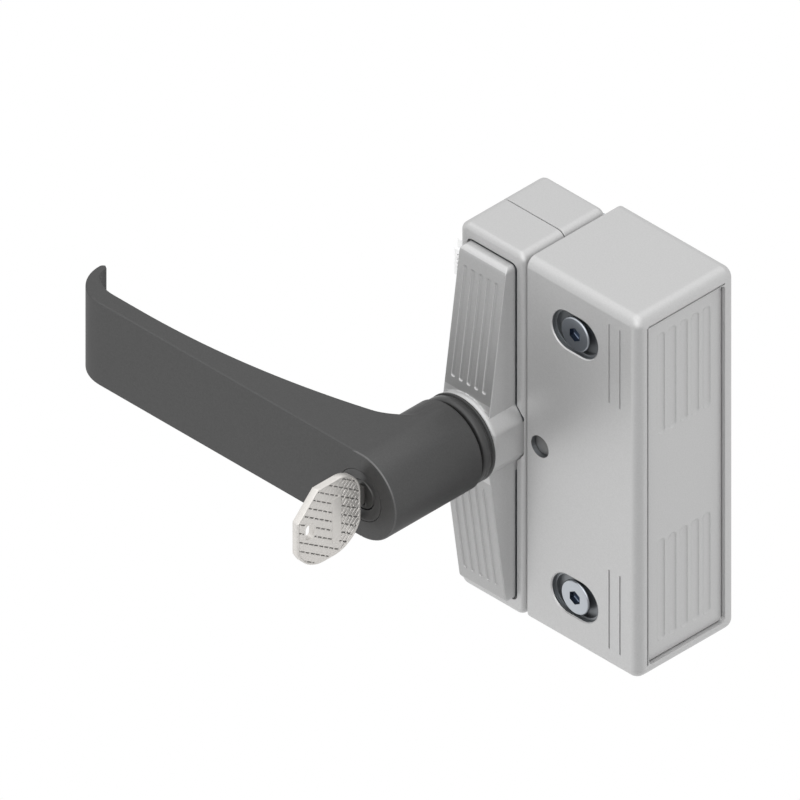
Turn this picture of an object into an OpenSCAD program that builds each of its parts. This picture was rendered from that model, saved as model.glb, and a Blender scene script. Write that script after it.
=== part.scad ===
// Lever-handle door lock for profile doors, with its strike box beside it.
// Frame: +Z up, +X towards the strike box, -Y towards the person who turns the lever.
// Origin: where the lever's axis meets the back face of the lock case.

/* [Lock case] */
// Width of the case across the door
case_w = 26; // [25:0.5:30]
// Height of the case and of the strike box
case_h = 125; // [118:1:140]
// Depth of the case from its back face to its front face
case_d = 33; // [32:0.5:38]
// Fillet along the front, back and upright edges of the case
case_edge = 1.8; // [1:0.1:2.4]
// Radius of the case's four corners, seen from the front
case_corner = 3.2; // [2:0.1:3.6]
// Thickness of the case's side, top and bottom walls
case_wall = 2.5; // [2:0.1:2.8]
// Thickness of the case's front wall
front_wall = 3.5; // [3.2:0.1:4]
// Thickness of the case's back wall
rear_wall = 3; // [2.6:0.1:3.4]
// Distance from the front face to the joint between the two case halves
split_depth = 16.6; // [16:0.1:17.4]

/* [Cover plate] */
// Width of the plate's wings
wing_w = 18.7; // [17:0.1:20]
// Gap between the plate and its recess
plate_gap = 0.5; // [0.4:0.05:0.7]
// Margin between the recess and the top and bottom of the case
plate_margin = 4.3; // [4:0.1:6]
// Depth of the recess in the front face
recess_depth = 1.2; // [0.8:0.1:1.4]
// How far the wings stand out at their ends
wing_end_out = 3.7; // [3.2:0.1:5]
// How far the wings stand out where they meet the boss
wing_boss_out = 9.9; // [8:0.1:10.5]
// Rounding of the wings' end edges
wing_round = 2; // [0.8:0.1:2.4]
// Diameter of the round boss
boss_dia = 26.9; // [25.4:0.1:27]
// Width of the boss across the flats at its two sides
boss_flats = 24.5; // [23.6:0.1:24.8]
// How far the boss stands out from the front face
boss_out = 12.3; // [11:0.1:14]
// Width of one flute in a wing
flute_w = 1.6; // [1.2:0.1:2]
// Distance between the flutes of a wing
flute_pitch = 3.1; // [2.8:0.1:3.3]
// Distance from the case's end to the flutes
flute_start = 10.2; // [9:0.2:12]
// Length of the flutes in the wings
flute_len = 36; // [30:1:38]
// Depth of the flutes in the wings
flute_deep = 0.5; // [0.3:0.05:0.7]

/* [Lever] */
// Diameter of the lever's hub
hub_dia = 28.5; // [27.4:0.1:29]
// Length of the hub from the collar ring to its front face
hub_len = 35.5; // [35:0.5:40]
// Length of the black collar ring
ring_len = 4.9; // [4.2:0.1:7]
// Diameter of the collar ring
ring_dia = 27.8; // [27:0.1:28.4]
// Distance from the hub's axis to the outer end of the lever
lever_reach = 117.4; // [100:1:130]
// Thickness of the lever's thin outer stretch
lever_thin = 6.1; // [4.6:0.1:6.6]
// Thickness of the lever at the hub's axis
lever_root = 22; // [18:0.2:24]
// Distance from the axis to the start of the thin stretch
lever_taper_len = 94; // [80:1:96]
// Outer radius of the bend at the lever's end
bend_r = 13; // [11:0.5:14]
// Thickness of the returned tip
tip_t = 2.5; // [2.2:0.1:3.2]
// Length of the return, from the lever's front face
return_len = 14.3; // [14:0.1:17]
// Angle that the lever turns through, from closed to open
lever_turn = 90; // [90:1:90]

/* [Spindle and follower] */
// Side of the square spindle
spindle_w = 8; // [7:0.1:8.2]
// Outer diameter of the follower's journals
journal_dia = 15; // [14.4:0.1:15.4]
// Outer diameter of the bushes
bush_dia = 19; // [18.4:0.1:19.4]
// Length of each bush without its flange
bush_len = 6; // [5:0.2:7]
// Running clearance between a journal and its bush
run_gap = 0.05; // [0.03:0.01:0.08]
// Diameter of the follower's body between the bushes
follower_dia = 16.4; // [16:0.1:16.8]
// Outer radius of the hook, from the lever's axis
hook_reach = 26.2; // [25.6:0.1:28]
// Thickness of the hook
hook_t = 6; // [5:0.2:6.4]
// How far the hook reaches above the lever's axis
hook_up = 7.5; // [7:0.1:7.8]
// How far the hook reaches below the lever's axis
hook_down = 6; // [5:0.1:6.4]
// Diameter of the stop pins
stop_dia = 2.4; // [2:0.1:2.6]

/* [Lock cylinder] */
// Diameter of the cylinder housing
housing_dia = 17.4; // [16.6:0.1:18]
// Length of the cylinder housing
housing_len = 16.4; // [15.4:0.2:18]
// Diameter of the turning plug
plug_dia = 9.4; // [9.2:0.1:10]
// Depth of the dished front of the housing
dish_depth = 1.8; // [1:0.1:2.2]
// Travel of the locking slider
slider_travel = 4; // [3.6:0.1:4.2]
// Diameter of the locking pin on the slider
lock_pin_dia = 2.8; // [2.4:0.1:2.9]
// Number of wafers in the plug
wafer_count = 5; // [3:1:5]

/* [Key] */
// Height of the key's bow
bow_h = 25.8; // [22:0.2:30]
// Length of the key's bow
bow_len = 24.8; // [20:0.2:30]
// Chamfer at the bow's upper outer corner
bow_chamfer = 8; // [6:0.2:8.6]
// Radius of the bow's upper corner beside the hub
bow_shoulder = 9; // [6:0.2:10]
// Radius of the bow's lower corners
bow_round = 11.4; // [8:0.2:12]
// Thickness of the key's bow
bow_t = 2.4; // [2:0.1:2.6]
// Height of the key's blade
blade_h = 6; // [5:0.1:6.2]
// Thickness of the key's blade
blade_t = 2.2; // [1.8:0.1:2.2]
// Gap between the hub's front face and the key's bow
bow_gap = 1.2; // [0.8:0.1:3]

/* [Thumb slide] */
// Height of the grip on the thumb slide's button
snib_h = 9.8; // [8:0.2:12]
// Height of the button's thinner top above the grip
snib_top_h = 3.7; // [2:0.1:5]
// How far the button stands out of the case
snib_out = 6.1; // [4:0.1:8]
// Depth of the button, front to back
snib_d = 13; // [11:0.5:14]
// Height of the slide's middle above the lever's axis
snib_z = 43.8; // [42:0.2:46]
// Travel of the slide, downwards
snib_travel = 8; // [7:0.5:8]

/* [Strike box] */
// Width of the strike box
box_w = 44.3; // [42:0.1:52]
// How much deeper than the case the box is, at its back
box_extra = 6; // [4:0.5:10]
// Gap between the case and the strike box
box_gap = 1.1; // [0.8:0.1:1.4]
// Fillet along the edges of the box, apart from the sharp ones towards the case
box_edge = 3.1; // [2:0.1:3.4]
// Radius of the box's two outer corners, seen from the front
box_corner = 3.8; // [2.6:0.1:4.2]
// Thickness of the box's wall towards the case
box_wall = 1.4; // [1.3:0.1:1.5]
// Thickness of the box's front wall
box_front_wall = 3.5; // [3:0.1:4.5]
// Thickness of the box's top and bottom walls
box_end_wall = 3; // [2.5:0.1:4]
// Diameter of the strike pin
strike_dia = 6.6; // [6:0.1:6.8]
// Distance from the box's wall towards the case to the strike pin's axis
strike_in = 5; // [4.8:0.1:5.4]
// Depth of the pin's end face below the front face
strike_sunk = 1.6; // [1.4:0.1:3]

/* [Slots and screws] */
// Distance between the two screws of the strike box
screw_pitch = 91; // [84:1:94]
// Distance from the box's wall towards the case to the middle of its slots
slot_x = 18.8; // [18.2:0.1:21]
// Length of the slots in the front
slot_len = 18.4; // [16:0.2:20]
// Height of the slots in the front
slot_h = 12.9; // [12:0.1:14]
// Depth of the slots in the front
slot_deep = 4.4; // [4.2:0.1:6]
// Wall of the dark cups that line the slots
cup_wall = 0.8; // [0.5:0.1:1.2]
// Depth of the cups' floor below the front face
cup_deep = 2.7; // [2.2:0.1:3]
// Thread diameter of the fixing screws
screw_dia = 6; // [5:0.5:6]
// Head diameter of the fixing screws
head_dia = 10.9; // [10:0.1:11.2]
// Width across flats of the screws' hexagon sockets
hex_af = 4; // [3:0.5:4]
// Length of the screws behind the part
screw_out = 12; // [8:1:20]
// Diameter of the plain shank between a fixing screw's head and its thread
shank_dia = 5.4; // [4.6:0.1:5.6]

/* [Side cover] */
// Margin between the side cover's recess and the edges of the box
side_margin = 4.3; // [4:0.1:6]
// Gap between the side cover and its recess
side_gap = 0.4; // [0.3:0.05:0.6]
// Thickness of the side cover
side_t = 1.5; // [1.3:0.1:1.8]
// Depth of the cover's face below the side of the box
side_inset = 1.3; // [1:0.1:1.6]
// Width of one flute in the side cover
side_flute_w = 2.8; // [2:0.1:3.2]
// Distance between the flutes in the side cover
side_flute_pitch = 4.55; // [4:0.05:4.8]
// Length of the flutes in the side cover
side_flute_len = 35; // [28:1:38]
// Distance from the box's end to those flutes
side_flute_start = 9.5; // [8.5:0.1:12]

/* [Hidden] */
$fn = 64;
cut = 1; // how far a cutting shape runs past what it cuts
hair = 0.1; // clearance between faces that meet without sliding
fit = 0.1; // radial clearance of a pin in a plain hole
half_h = case_h / 2;
half_w = case_w / 2;

// Planes across the depth, from the back face at zero
front_y = -case_d;
split_y = front_y + split_depth;
recess_y = front_y + recess_depth;
front_in_y = front_y + front_wall;
rear_in_y = -rear_wall;
boss_y = front_y - boss_out;
hub_back_y = boss_y - ring_len;
hub_front_y = hub_back_y - hub_len;
hub_r = hub_dia / 2;
boss_r = boss_dia / 2;
plate_top = half_h - plate_margin - plate_gap;
recess_w = wing_w + 2 * plate_gap;
recess_top = half_h - plate_margin;

// Follower, bushes and hook along the lever's axis
journal_r = journal_dia / 2;
bush_r = bush_dia / 2;
bush_wall_r = bush_r + 1;
flange_t = 1;
flange_r = bush_r + 0.6;
bush_end_y = front_in_y + bush_len;
flange_y = bush_end_y + flange_t;
spring_t = 0.6;
follower_front_y = flange_y + hair + spring_t;
rear_bush_y = rear_in_y - bush_len;
rear_flange_y = rear_bush_y - flange_t;
follower_rear_y = rear_flange_y - hair;
follower_end_y = rear_in_y - 0.4;
follower_start_y = front_in_y - 0.5;
hook_mid_y = split_y;
hook_front_y = hook_mid_y - hook_t / 2;
hook_back_y = hook_mid_y + hook_t / 2;
hook_gap = 0.5; // clearance of the hook in its windows
spindle_hole_w = spindle_w + 0.1;
front_hole_r = spindle_w * 0.7072 + 0.6;
rear_hole_r = journal_r + 0.6;
neck_end_y = recess_y - 1.7;
neck_r = journal_r - 0.4;
collar_r = ring_dia / 2 - 2.2;
spindle_end_y = follower_end_y - 0.6;
spindle_start_y = hub_front_y + 26;
washer_t = 1;
washer_r = journal_r - 0.2;
spindle_screw_r = 2;
spindle_screw_len = 12;

// Strike pin and the hook's slot round it
box_x = half_w + box_gap;
box_right = box_x + box_w;
box_back_y = box_extra;
strike_x = box_x + strike_in;
strike_r = strike_dia / 2;
slot_clear = 0.25;
strike_boss_r = strike_in;
strike_boss_len = 5.5;
strike_end_y = front_y + strike_sunk;
strike_back_y = 3.4;
strike_groove_r = strike_r - 0.7;
strike_clip_y = strike_back_y - 1.6;
strike_clip_t = 0.8;
window_top = hook_reach - 1.2;
window_low = -hook_down - 1;

// Stops on the hook, and its ear that the thumb slide blocks
stop_r = stop_dia / 2;
stop_rest = [9, -hook_down - hair - stop_r];
stop_open = [-hook_up - hair - stop_r, 20];
ear_r = 10.2;
ear_front_y = follower_front_y + 0.1;
ear_t = 1.8;
ear_from = 125;
ear_to = 140;

// Lock cylinder inside the hub
housing_r = housing_dia / 2;
housing_back_y = hub_front_y + housing_len;
housing_front_y = hub_front_y + 0.2;
cavity_len = 7.2;
cavity_y = housing_back_y + cavity_len;
plug_r = plug_dia / 2;
plug_front_y = hub_front_y + dish_depth + 0.1;
tail_r = 3;
slider_t = 2.4;
slider_y = housing_back_y + 0.2;
slider_r = housing_r - 0.15;
lock_pin_r = lock_pin_dia / 2;
lock_pin_at = 9.4;
lock_pin_end_y = boss_y - 0.4;
lock_hole_deep = slider_travel + 0.6;
clip_t = 0.8;
clip_y = housing_back_y - clip_t - 0.5;
clip_r = 6.1;
keyway_gap = 0.15;
wafer_t = 0.9;
wafer_w = 4.4;
wafer_h = 8;
wafer_pitch = 2.2;
wafer_y = plug_front_y + 2.6;
retainer_r = 1;
retainer_y = hub_front_y + 9;
grub_r = 2.5;
grub_y = spindle_start_y + 5.5;

// Key
bow_back_y = hub_front_y - bow_gap;
bow_z = -1.7; // the bow sits a little low on the blade
blade_end_y = clip_y - 1.2;
key_ring_w = 3.4;
key_ring_h = 5;

// Thumb slide
neck_h = 6;
snib_neck_d = 8;
grip_pitch = 1.45;
grip_deep = 0.6;
grip_inset = 1.6;
snib_front_y = front_y + 3.5;
snib_neck_y = snib_front_y + 3.3;
carriage_t = 2;
carriage_x = -half_w + case_wall + hair;
tail_bottom = 11;
tail_y = ear_front_y + hair;
tail_t = ear_t - 0.2;
slot_slack = 0.2;

// Case screws
mount_z = screw_pitch / 2;
pillar_r = 5.5;
screw_r = screw_dia / 2;
head_r = head_dia / 2;
head_land = 0.5;
join_x = 7;
join_z = half_h - 6;
join_boss_r = 3;
join_r = 1.45;
join_head_r = 2.75;
join_head_t = 2;
join_len = 20;
stud_r = 2;
stud_z = 30;
stud_deep = 3.2;

shank_r = min(shank_dia / 2, screw_r - 0.2);

// Fine lines in the strike box's front
line_x = [0.738 * box_w, 0.835 * box_w];
line_top = 0.9 * half_h;
line_bottom = 0.461 * half_h;

// Side cover and its recess
side_recess = side_t + side_inset;
side_wall = side_recess + 1.7;
side_x = box_right - side_recess;
side_mid_y = (front_y + box_back_y) / 2;
side_recess_d = case_d + box_extra - 2 * side_margin;
side_recess_h = case_h - 2 * side_margin;
side_screw_z = 0.168 * half_h;
side_screw_r = 1.5;

// Shapes that several pieces share

// A cylinder along Y from one depth to another
module rod(r, y0, y1, at = [0, 0]) {
    translate([at[0], y0, at[1]]) rotate([-90, 0, 0]) cylinder(r = r, h = y1 - y0);
}

// A cone along Y, with a radius at each end
module cone(r0, r1, y0, y1, at = [0, 0]) {
    translate([at[0], y0, at[1]]) rotate([-90, 0, 0]) cylinder(r1 = r0, r2 = r1, h = y1 - y0);
}

// A box between two corners
module block(low, high) {
    translate(low) cube(high - low);
}

// A rectangle about its middle, with round corners made of true arcs
module round_rect(w, h, r) {
    square([w - 2 * r, h], center = true);
    square([w, h - 2 * r], center = true);
    for (x = [-1, 1], y = [-1, 1]) translate([x * (w / 2 - r), y * (h / 2 - r)]) circle(r = r);
}

// A slot outline about its middle, long along its first axis
module stadium(length, h) {
    square([length - h, h], center = true);
    for (side = [-1, 1]) translate([side * (length - h) / 2, 0]) circle(r = h / 2);
}

// A flat outline in X and Z, given thickness along Y
module plate_y(y0, y1, at = [0, 0]) {
    translate([at[0], y1, at[1]]) rotate([90, 0, 0]) linear_extrude(height = y1 - y0) children();
}

// A flat outline in Y and Z, given thickness along X
module plate_x(x0, x1, at = [0, 0]) {
    translate([x0, at[0], at[1]]) rotate([90, 0, 90]) linear_extrude(height = x1 - x0) children();
}

// A block whose outer edges are all filleted, with a radius of its own for the four corners
// that show from the front
module filleted_block(low, high, r, corner_r) {
    size = high - low;
    mid = (high + low) / 2;
    intersection() {
        plate_y(low[1], high[1], [mid[0], mid[2]]) round_rect(size[0], size[2], corner_r);
        plate_x(low[0], high[0], [mid[1], mid[2]]) round_rect(size[1], size[2], r);
        translate([mid[0], mid[1], low[2]]) linear_extrude(height = size[2])
            round_rect(size[0], size[1], r);
    }
}

// A groove with round ends, cut from one point to another
module groove(from, to, r) {
    d = to - from;
    length = norm(d);
    translate(from) rotate([0, acos(d[2] / length), atan2(d[1], d[0])]) cylinder(r = r, h = length, $fn = 24);
    for (p = [from, to]) translate(p) sphere(r = r, $fn = 24);
}

// A countersunk screw along Y with a hexagon socket, its head's face at y0 and its thread from thread_y on
module socket_screw(r, head, length, af, y0, thread_y, at) {
    difference() {
        union() {
            rod(head, y0, y0 + head_land, at);
            cone(head, shank_r, y0 + head_land, y0 + head_land + head - shank_r, at);
            rod(shank_r, y0 + head_land, thread_y + hair, at);
            rod(r, thread_y, y0 + length, at);
        }
        translate([at[0], y0 - cut, at[1]]) rotate([-90, 30, 0])
            cylinder(r = af / sqrt(3), h = cut + head - r, $fn = 6);
    }
}

// Lock case

module case_solid() {
    filleted_block([-half_w, front_y, -half_h], [half_w, 0, half_h], case_edge, case_corner);
}

module case_cavity() {
    block([-half_w + case_wall, front_in_y, -half_h + case_wall],
        [half_w - case_wall, rear_in_y, half_h - case_wall]);
}

module hook_window() {
    block([half_w - case_wall - cut, hook_front_y - hook_gap, window_low],
        [box_x + box_wall + hair, hook_back_y + hook_gap, window_top]);
}

module front_case() {
    seat_y = recess_y + hair + head_land;
    color("lightgray") difference() {
        intersection() {
            union() {
                difference() {
                    case_solid();
                    case_cavity();
                }
                rod(bush_wall_r, front_in_y - hair, bush_end_y);
                for (side = [-1, 1]) {
                    rod(pillar_r, front_in_y - hair, split_y, [0, side * mount_z]);
                    for (x = [-1, 1])
                        rod(join_boss_r, front_in_y - hair, split_y, [x * join_x, side * join_z]);
                }
            }
            block([-half_w, front_y, -half_h], [half_w, split_y, half_h]);
        }
        plate_y(front_y - cut, recess_y) round_rect(recess_w, 2 * recess_top, 2);
        intersection() {
            rod(boss_r + plate_gap, front_y - cut, recess_y);
            block([-boss_flats / 2 - fit, front_y - 2 * cut, -half_h],
                [boss_flats / 2 + fit, recess_y + cut, half_h]);
        }
        rod(front_hole_r, recess_y - cut, front_in_y + cut);
        rod(bush_r, front_in_y, bush_end_y + cut);
        for (side = [-1, 1]) {
            rod(screw_r + fit, recess_y - cut, split_y + cut, [0, side * mount_z]);
            cone(head_r + fit, screw_r + fit, seat_y, seat_y + head_r - screw_r, [0, side * mount_z]);
            rod(head_r + fit, recess_y - cut, seat_y, [0, side * mount_z]);
            rod(stud_r + fit, recess_y - cut, front_in_y + cut, [0, side * stud_z]);
            for (x = [-1, 1])
                rod(join_r + run_gap, split_y - 8, split_y + cut, [x * join_x, side * join_z]);
        }
        hook_window();
        block([-half_w - cut, snib_neck_y - slot_slack, snib_z - neck_h / 2 - snib_travel - slot_slack],
            [-half_w + case_wall + cut, snib_neck_y + snib_neck_d + slot_slack,
                snib_z + neck_h / 2 + slot_slack]);
    }
}

module rear_case() {
    color("silver") difference() {
        intersection() {
            union() {
                difference() {
                    case_solid();
                    case_cavity();
                }
                rod(bush_wall_r, rear_bush_y, rear_in_y + hair);
                for (side = [-1, 1]) {
                    rod(pillar_r, split_y, rear_in_y + hair, [0, side * mount_z]);
                    for (x = [-1, 1])
                        rod(join_boss_r, split_y, rear_in_y + hair, [x * join_x, side * join_z]);
                }
                for (at = [stop_rest, stop_open])
                    rod(stop_r + 1.4, rear_bush_y, rear_in_y + hair, at);
            }
            block([-half_w, split_y, -half_h], [half_w, 0, half_h]);
        }
        rod(bush_r, rear_bush_y - cut, rear_in_y);
        rod(rear_hole_r, rear_in_y - cut, cut);
        for (side = [-1, 1]) {
            rod(screw_r + fit, split_y - cut, cut, [0, side * mount_z]);
            for (x = [-1, 1]) {
                rod(join_r + fit, split_y - cut, cut, [x * join_x, side * join_z]);
                rod(join_head_r + fit, -join_head_t - fit, cut, [x * join_x, side * join_z]);
            }
        }
        for (at = [stop_rest, stop_open])
            rod(stop_r + run_gap, rear_bush_y - cut, rear_in_y, at);
        hook_window();
    }
}

module case_joining_screws() {
    color("gainsboro") for (x = [-1, 1], z = [-1, 1]) difference() {
        union() {
            rod(join_head_r, -join_head_t, -hair, [x * join_x, z * join_z]);
            rod(join_r, -join_len, -join_head_t, [x * join_x, z * join_z]);
        }
        translate([x * join_x, -1.3, z * join_z]) rotate([-90, 30, 0])
            cylinder(r = 2 / sqrt(3), h = cut + 1.3, $fn = 6);
    }
}

module case_mounting_screws() {
    color("gainsboro") for (side = [-1, 1])
        socket_screw(screw_r, head_r, case_d - recess_depth + screw_out, hex_af, recess_y + hair, 0.4,
            [0, side * mount_z]);
}

// Cover plate: two sloping wings and the round boss between them

flute_r = (flute_w * flute_w / 4 + flute_deep * flute_deep) / (2 * flute_deep);

function wing_y(z) = front_y - wing_end_out
    - (wing_boss_out - wing_end_out) * (plate_top - z) / (plate_top - boss_r);

function flute_at(i, z) = [i * flute_pitch, wing_y(z) - flute_r + flute_deep, z];

module wing_outline() {
    corner = [plate_top - wing_round, wing_y(plate_top) + wing_round];
    polygon([
        [-cut, recess_y],
        [plate_top, recess_y],
        for (a = [0:15:90]) [corner[0] + wing_round * cos(a), corner[1] - wing_round * sin(a)],
        [-cut, wing_y(-cut)]
    ]);
}

module wing() {
    difference() {
        intersection() {
            rotate([0, -90, 0]) translate([0, 0, -wing_w / 2]) linear_extrude(height = wing_w) wing_outline();
            plate_y(boss_y, recess_y) round_rect(wing_w, 2 * plate_top, 2 - plate_gap);
        }
        for (i = [-2:2])
            groove(flute_at(i, half_h - flute_start - flute_w / 2),
                flute_at(i, half_h - flute_start - flute_len + flute_w / 2), flute_r);
    }
}

module cover_plate() {
    color("darkgray") difference() {
        union() {
            wing();
            mirror([0, 0, 1]) wing();
            intersection() {
                rod(boss_r, boss_y, recess_y);
                block([-boss_flats / 2, boss_y - cut, -half_h], [boss_flats / 2, recess_y + cut, half_h]);
            }
            for (side = [-1, 1])
                rod(stud_r, recess_y - hair, recess_y + stud_deep, [0, side * stud_z]);
        }
        rod(neck_r + run_gap, boss_y - cut, recess_y + cut);
        for (at = [[0, lock_pin_at], [-lock_pin_at, 0]])
            rod(lock_pin_r + fit, boss_y - cut, boss_y + lock_hole_deep, at);
    }
}

// Follower with the hook, its bushes, spring and stops

module front_bush() {
    color("goldenrod") difference() {
        union() {
            rod(bush_r, front_in_y, bush_end_y);
            rod(flange_r, bush_end_y, flange_y);
        }
        rod(journal_r + run_gap, front_in_y - cut, flange_y + cut);
    }
}

module rear_bush() {
    color("goldenrod") difference() {
        union() {
            rod(bush_r, rear_bush_y, rear_in_y);
            rod(flange_r, rear_flange_y, rear_bush_y);
        }
        rod(journal_r + run_gap, rear_flange_y - cut, rear_in_y + cut);
    }
}

module hook_outline() {
    slot_r = strike_r + slot_clear;
    difference() {
        intersection() {
            translate([0, -hook_down]) square([hook_reach, hook_down + hook_up]);
            circle(r = hook_reach, $fn = 96);
        }
        translate([strike_x, 0]) circle(r = slot_r);
        difference() {
            circle(r = strike_x + slot_r, $fn = 96);
            circle(r = strike_x - slot_r, $fn = 96);
            translate([0, 0]) square([2 * hook_reach, hook_reach]);
            translate([-2 * hook_reach, -hook_reach]) square(2 * hook_reach);
        }
    }
}

module hook_bolt() {
    color("slategray") difference() {
        union() {
            rod(journal_r, follower_start_y + 0.6, follower_end_y);
            rod(follower_dia / 2, follower_front_y, follower_rear_y);
            plate_y(hook_front_y, hook_back_y) hook_outline();
            plate_y(ear_front_y, ear_front_y + ear_t) polygon([
                [0, 0],
                for (a = [ear_from:5:ear_to]) ear_r * [cos(a), sin(a)]
            ]);
        }
        translate([-spindle_hole_w / 2, follower_start_y - cut, -spindle_hole_w / 2])
            cube([spindle_hole_w, follower_end_y - follower_start_y + 2 * cut, spindle_hole_w]);
    }
}

module disc_spring() {
    color("lightsteelblue") rotate([-90, 0, 0]) translate([0, 0, flange_y + hair]) rotate_extrude()
        polygon([
            [journal_r + 0.15, 0],
            [journal_r + 0.55, 0],
            [flange_r - 0.3, spring_t - 0.4],
            [flange_r - 0.3, spring_t - 0.05],
            [flange_r - 0.7, spring_t - 0.05],
            [journal_r + 0.15, 0.35]
        ]);
}

module square_spindle() {
    color("silver") difference() {
        translate([-spindle_w / 2, spindle_start_y, -spindle_w / 2])
            cube([spindle_w, spindle_end_y - spindle_start_y, spindle_w]);
        rod(spindle_screw_r + run_gap, spindle_end_y - spindle_screw_len - 1, spindle_end_y + cut);
    }
}

module spindle_washer() {
    color("gainsboro") difference() {
        rod(washer_r, follower_end_y, follower_end_y + washer_t);
        rod(spindle_screw_r + fit, follower_end_y - cut, follower_end_y + washer_t + cut);
    }
}

module spindle_screw() {
    head_y = follower_end_y + washer_t;
    color("gainsboro") difference() {
        union() {
            rod(3.5, head_y, head_y + 2);
            rod(spindle_screw_r, head_y - spindle_screw_len, head_y);
        }
        translate([0, head_y + 0.8, 0]) rotate([-90, 30, 0]) cylinder(r = 2.5 / sqrt(3), h = 2, $fn = 6);
    }
}

module stop_pins() {
    color("dimgray") for (at = [stop_rest, stop_open])
        rod(stop_r, hook_front_y, rear_in_y - hair, at);
}

// Lever handle

// Thickness of the lever at a distance from the hub's axis: a shallow parabola that runs out
// into the thin outer stretch
function lever_t(d) = lever_thin
    + (lever_root - lever_thin) * pow(max(0, lever_taper_len - d) / lever_taper_len, 2);

module lever_outline() {
    bend = [-lever_reach + bend_r, hub_front_y + bend_r];
    inner_a = bend_r - tip_t;
    inner_y = hub_front_y + return_len - tip_t / 2;
    polygon([
        [0, hub_front_y],
        for (a = [0:6:90]) bend - bend_r * [sin(a), cos(a)],
        for (a = [0:30:180])
            [-lever_reach + tip_t / 2 - tip_t / 2 * cos(a), inner_y + tip_t / 2 * sin(a)],
        for (a = [84:-6:0])
            [bend[0] - inner_a * sin(a), inner_y - (return_len - tip_t / 2 - lever_thin) * cos(a)],
        for (i = [0:16]) let(d = lever_taper_len * (1 - i / 16)) [-d, hub_front_y + lever_t(d)]
    ]);
}

module lever_handle() {
    color("dimgray") difference() {
        union() {
            translate([0, 0, -hub_r]) linear_extrude(height = hub_dia) lever_outline();
            rod(hub_r, hub_front_y, hub_back_y);
            rod(collar_r, hub_back_y - hair, boss_y - 0.3);
            rod(neck_r, boss_y - 1, neck_end_y);
        }
        block([0, hub_front_y - cut, -hub_r - cut], [hub_dia, hub_front_y, hub_r + cut]);
        rod(housing_r + run_gap, hub_front_y - cut, cavity_y);
        rod(lock_pin_r + fit, housing_back_y, boss_y + cut, [0, lock_pin_at]);
        translate([-spindle_hole_w / 2, spindle_start_y - 0.5, -spindle_hole_w / 2])
            cube([spindle_hole_w, neck_end_y - spindle_start_y + 1.5, spindle_hole_w]);
        translate([0, grub_y, -hub_r - cut]) cylinder(r = grub_r + run_gap, h = hub_r + cut);
        translate([0, retainer_y, -hub_r - cut]) cylinder(r = retainer_r + run_gap, h = hub_r + cut);
    }
}

module collar_ring() {
    outer = ring_dia / 2;
    rim_t = 0.5;
    bulge = (ring_len - hair - rim_t - 0.8) / 2;
    color("black") rotate([-90, 0, 0]) translate([0, 0, hub_back_y]) rotate_extrude() polygon([
        [collar_r + run_gap, 0],
        [outer - 1.2, 0],
        [outer - 1.2, 0.4],
        for (a = [0:15:180]) [outer - 1.2 + 1.1 * sin(a), 0.4 + bulge * (1 - cos(a))],
        [outer - 1.2, ring_len - hair - rim_t - 0.1],
        [outer, ring_len - hair - rim_t],
        [outer, ring_len - hair],
        [collar_r + run_gap, ring_len - hair]
    ]);
}

module lever_grub_screw() {
    color("dimgray") difference() {
        translate([0, grub_y, -hub_r + 1.2]) cylinder(r = grub_r, h = hub_r - 1.2 - spindle_w / 2 - run_gap);
        translate([0, grub_y, -hub_r]) cylinder(r = 2.5 / sqrt(3), h = 3.6, $fn = 6);
    }
}

// Lock cylinder in the hub

module cylinder_housing() {
    color("gray") difference() {
        rod(housing_r, housing_front_y, housing_back_y);
        cone(housing_r - 0.7, plug_r + 0.3, housing_front_y - 0.01, housing_front_y + dish_depth);
        rod(plug_r + run_gap, housing_front_y - cut, housing_back_y + cut);
        rod(clip_r + fit, clip_y - fit, housing_back_y + cut);
        translate([0, retainer_y, -housing_r - cut]) cylinder(r = retainer_r + run_gap, h = 2 + cut);
    }
}

module cylinder_retaining_pin() {
    color("silver") translate([0, retainer_y, -hub_r + 0.6])
        cylinder(r = retainer_r, h = hub_r - housing_r + 1.2);
}

module cylinder_plug() {
    color("darkgray") difference() {
        union() {
            rod(plug_r, plug_front_y, clip_y + clip_t + 0.4);
            rod(tail_r, clip_y, cavity_y - 0.6);
        }
        difference() {
            rod(plug_r + cut, clip_y, clip_y + clip_t);
            rod(plug_r - 0.6, clip_y - cut, clip_y + clip_t + cut);
        }
        block([-blade_t / 2 - keyway_gap, plug_front_y - cut, -blade_h / 2 - keyway_gap],
            [blade_t / 2 + keyway_gap, blade_end_y + 0.4, blade_h / 2 + keyway_gap]);
        for (i = [0:wafer_count - 1])
            block([-wafer_w / 2 - 0.05, wafer_y + i * wafer_pitch - 0.05, -wafer_h / 2 - 0.05],
                [wafer_w / 2 + 0.05, wafer_y + i * wafer_pitch + wafer_t + 0.05, wafer_h / 2 + 0.05]);
    }
}

module plug_clip() {
    color("silver") difference() {
        rod(clip_r, clip_y + 0.05, clip_y + clip_t - 0.05);
        rod(plug_r - 0.55, clip_y - cut, clip_y + clip_t + cut);
        block([-1.6, clip_y - cut, 0], [1.6, clip_y + clip_t + cut, clip_r + cut]);
    }
}

module tumbler_wafers() {
    color("gold") for (i = [0:wafer_count - 1]) difference() {
        block([-wafer_w / 2, wafer_y + i * wafer_pitch, -wafer_h / 2],
            [wafer_w / 2, wafer_y + i * wafer_pitch + wafer_t, wafer_h / 2]);
        block([-blade_t / 2 - 0.2, wafer_y + i * wafer_pitch - cut, -blade_h / 2 - 0.2],
            [blade_t / 2 + 0.2, wafer_y + i * wafer_pitch + wafer_t + cut, blade_h / 2 + 0.2]);
    }
}

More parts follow.
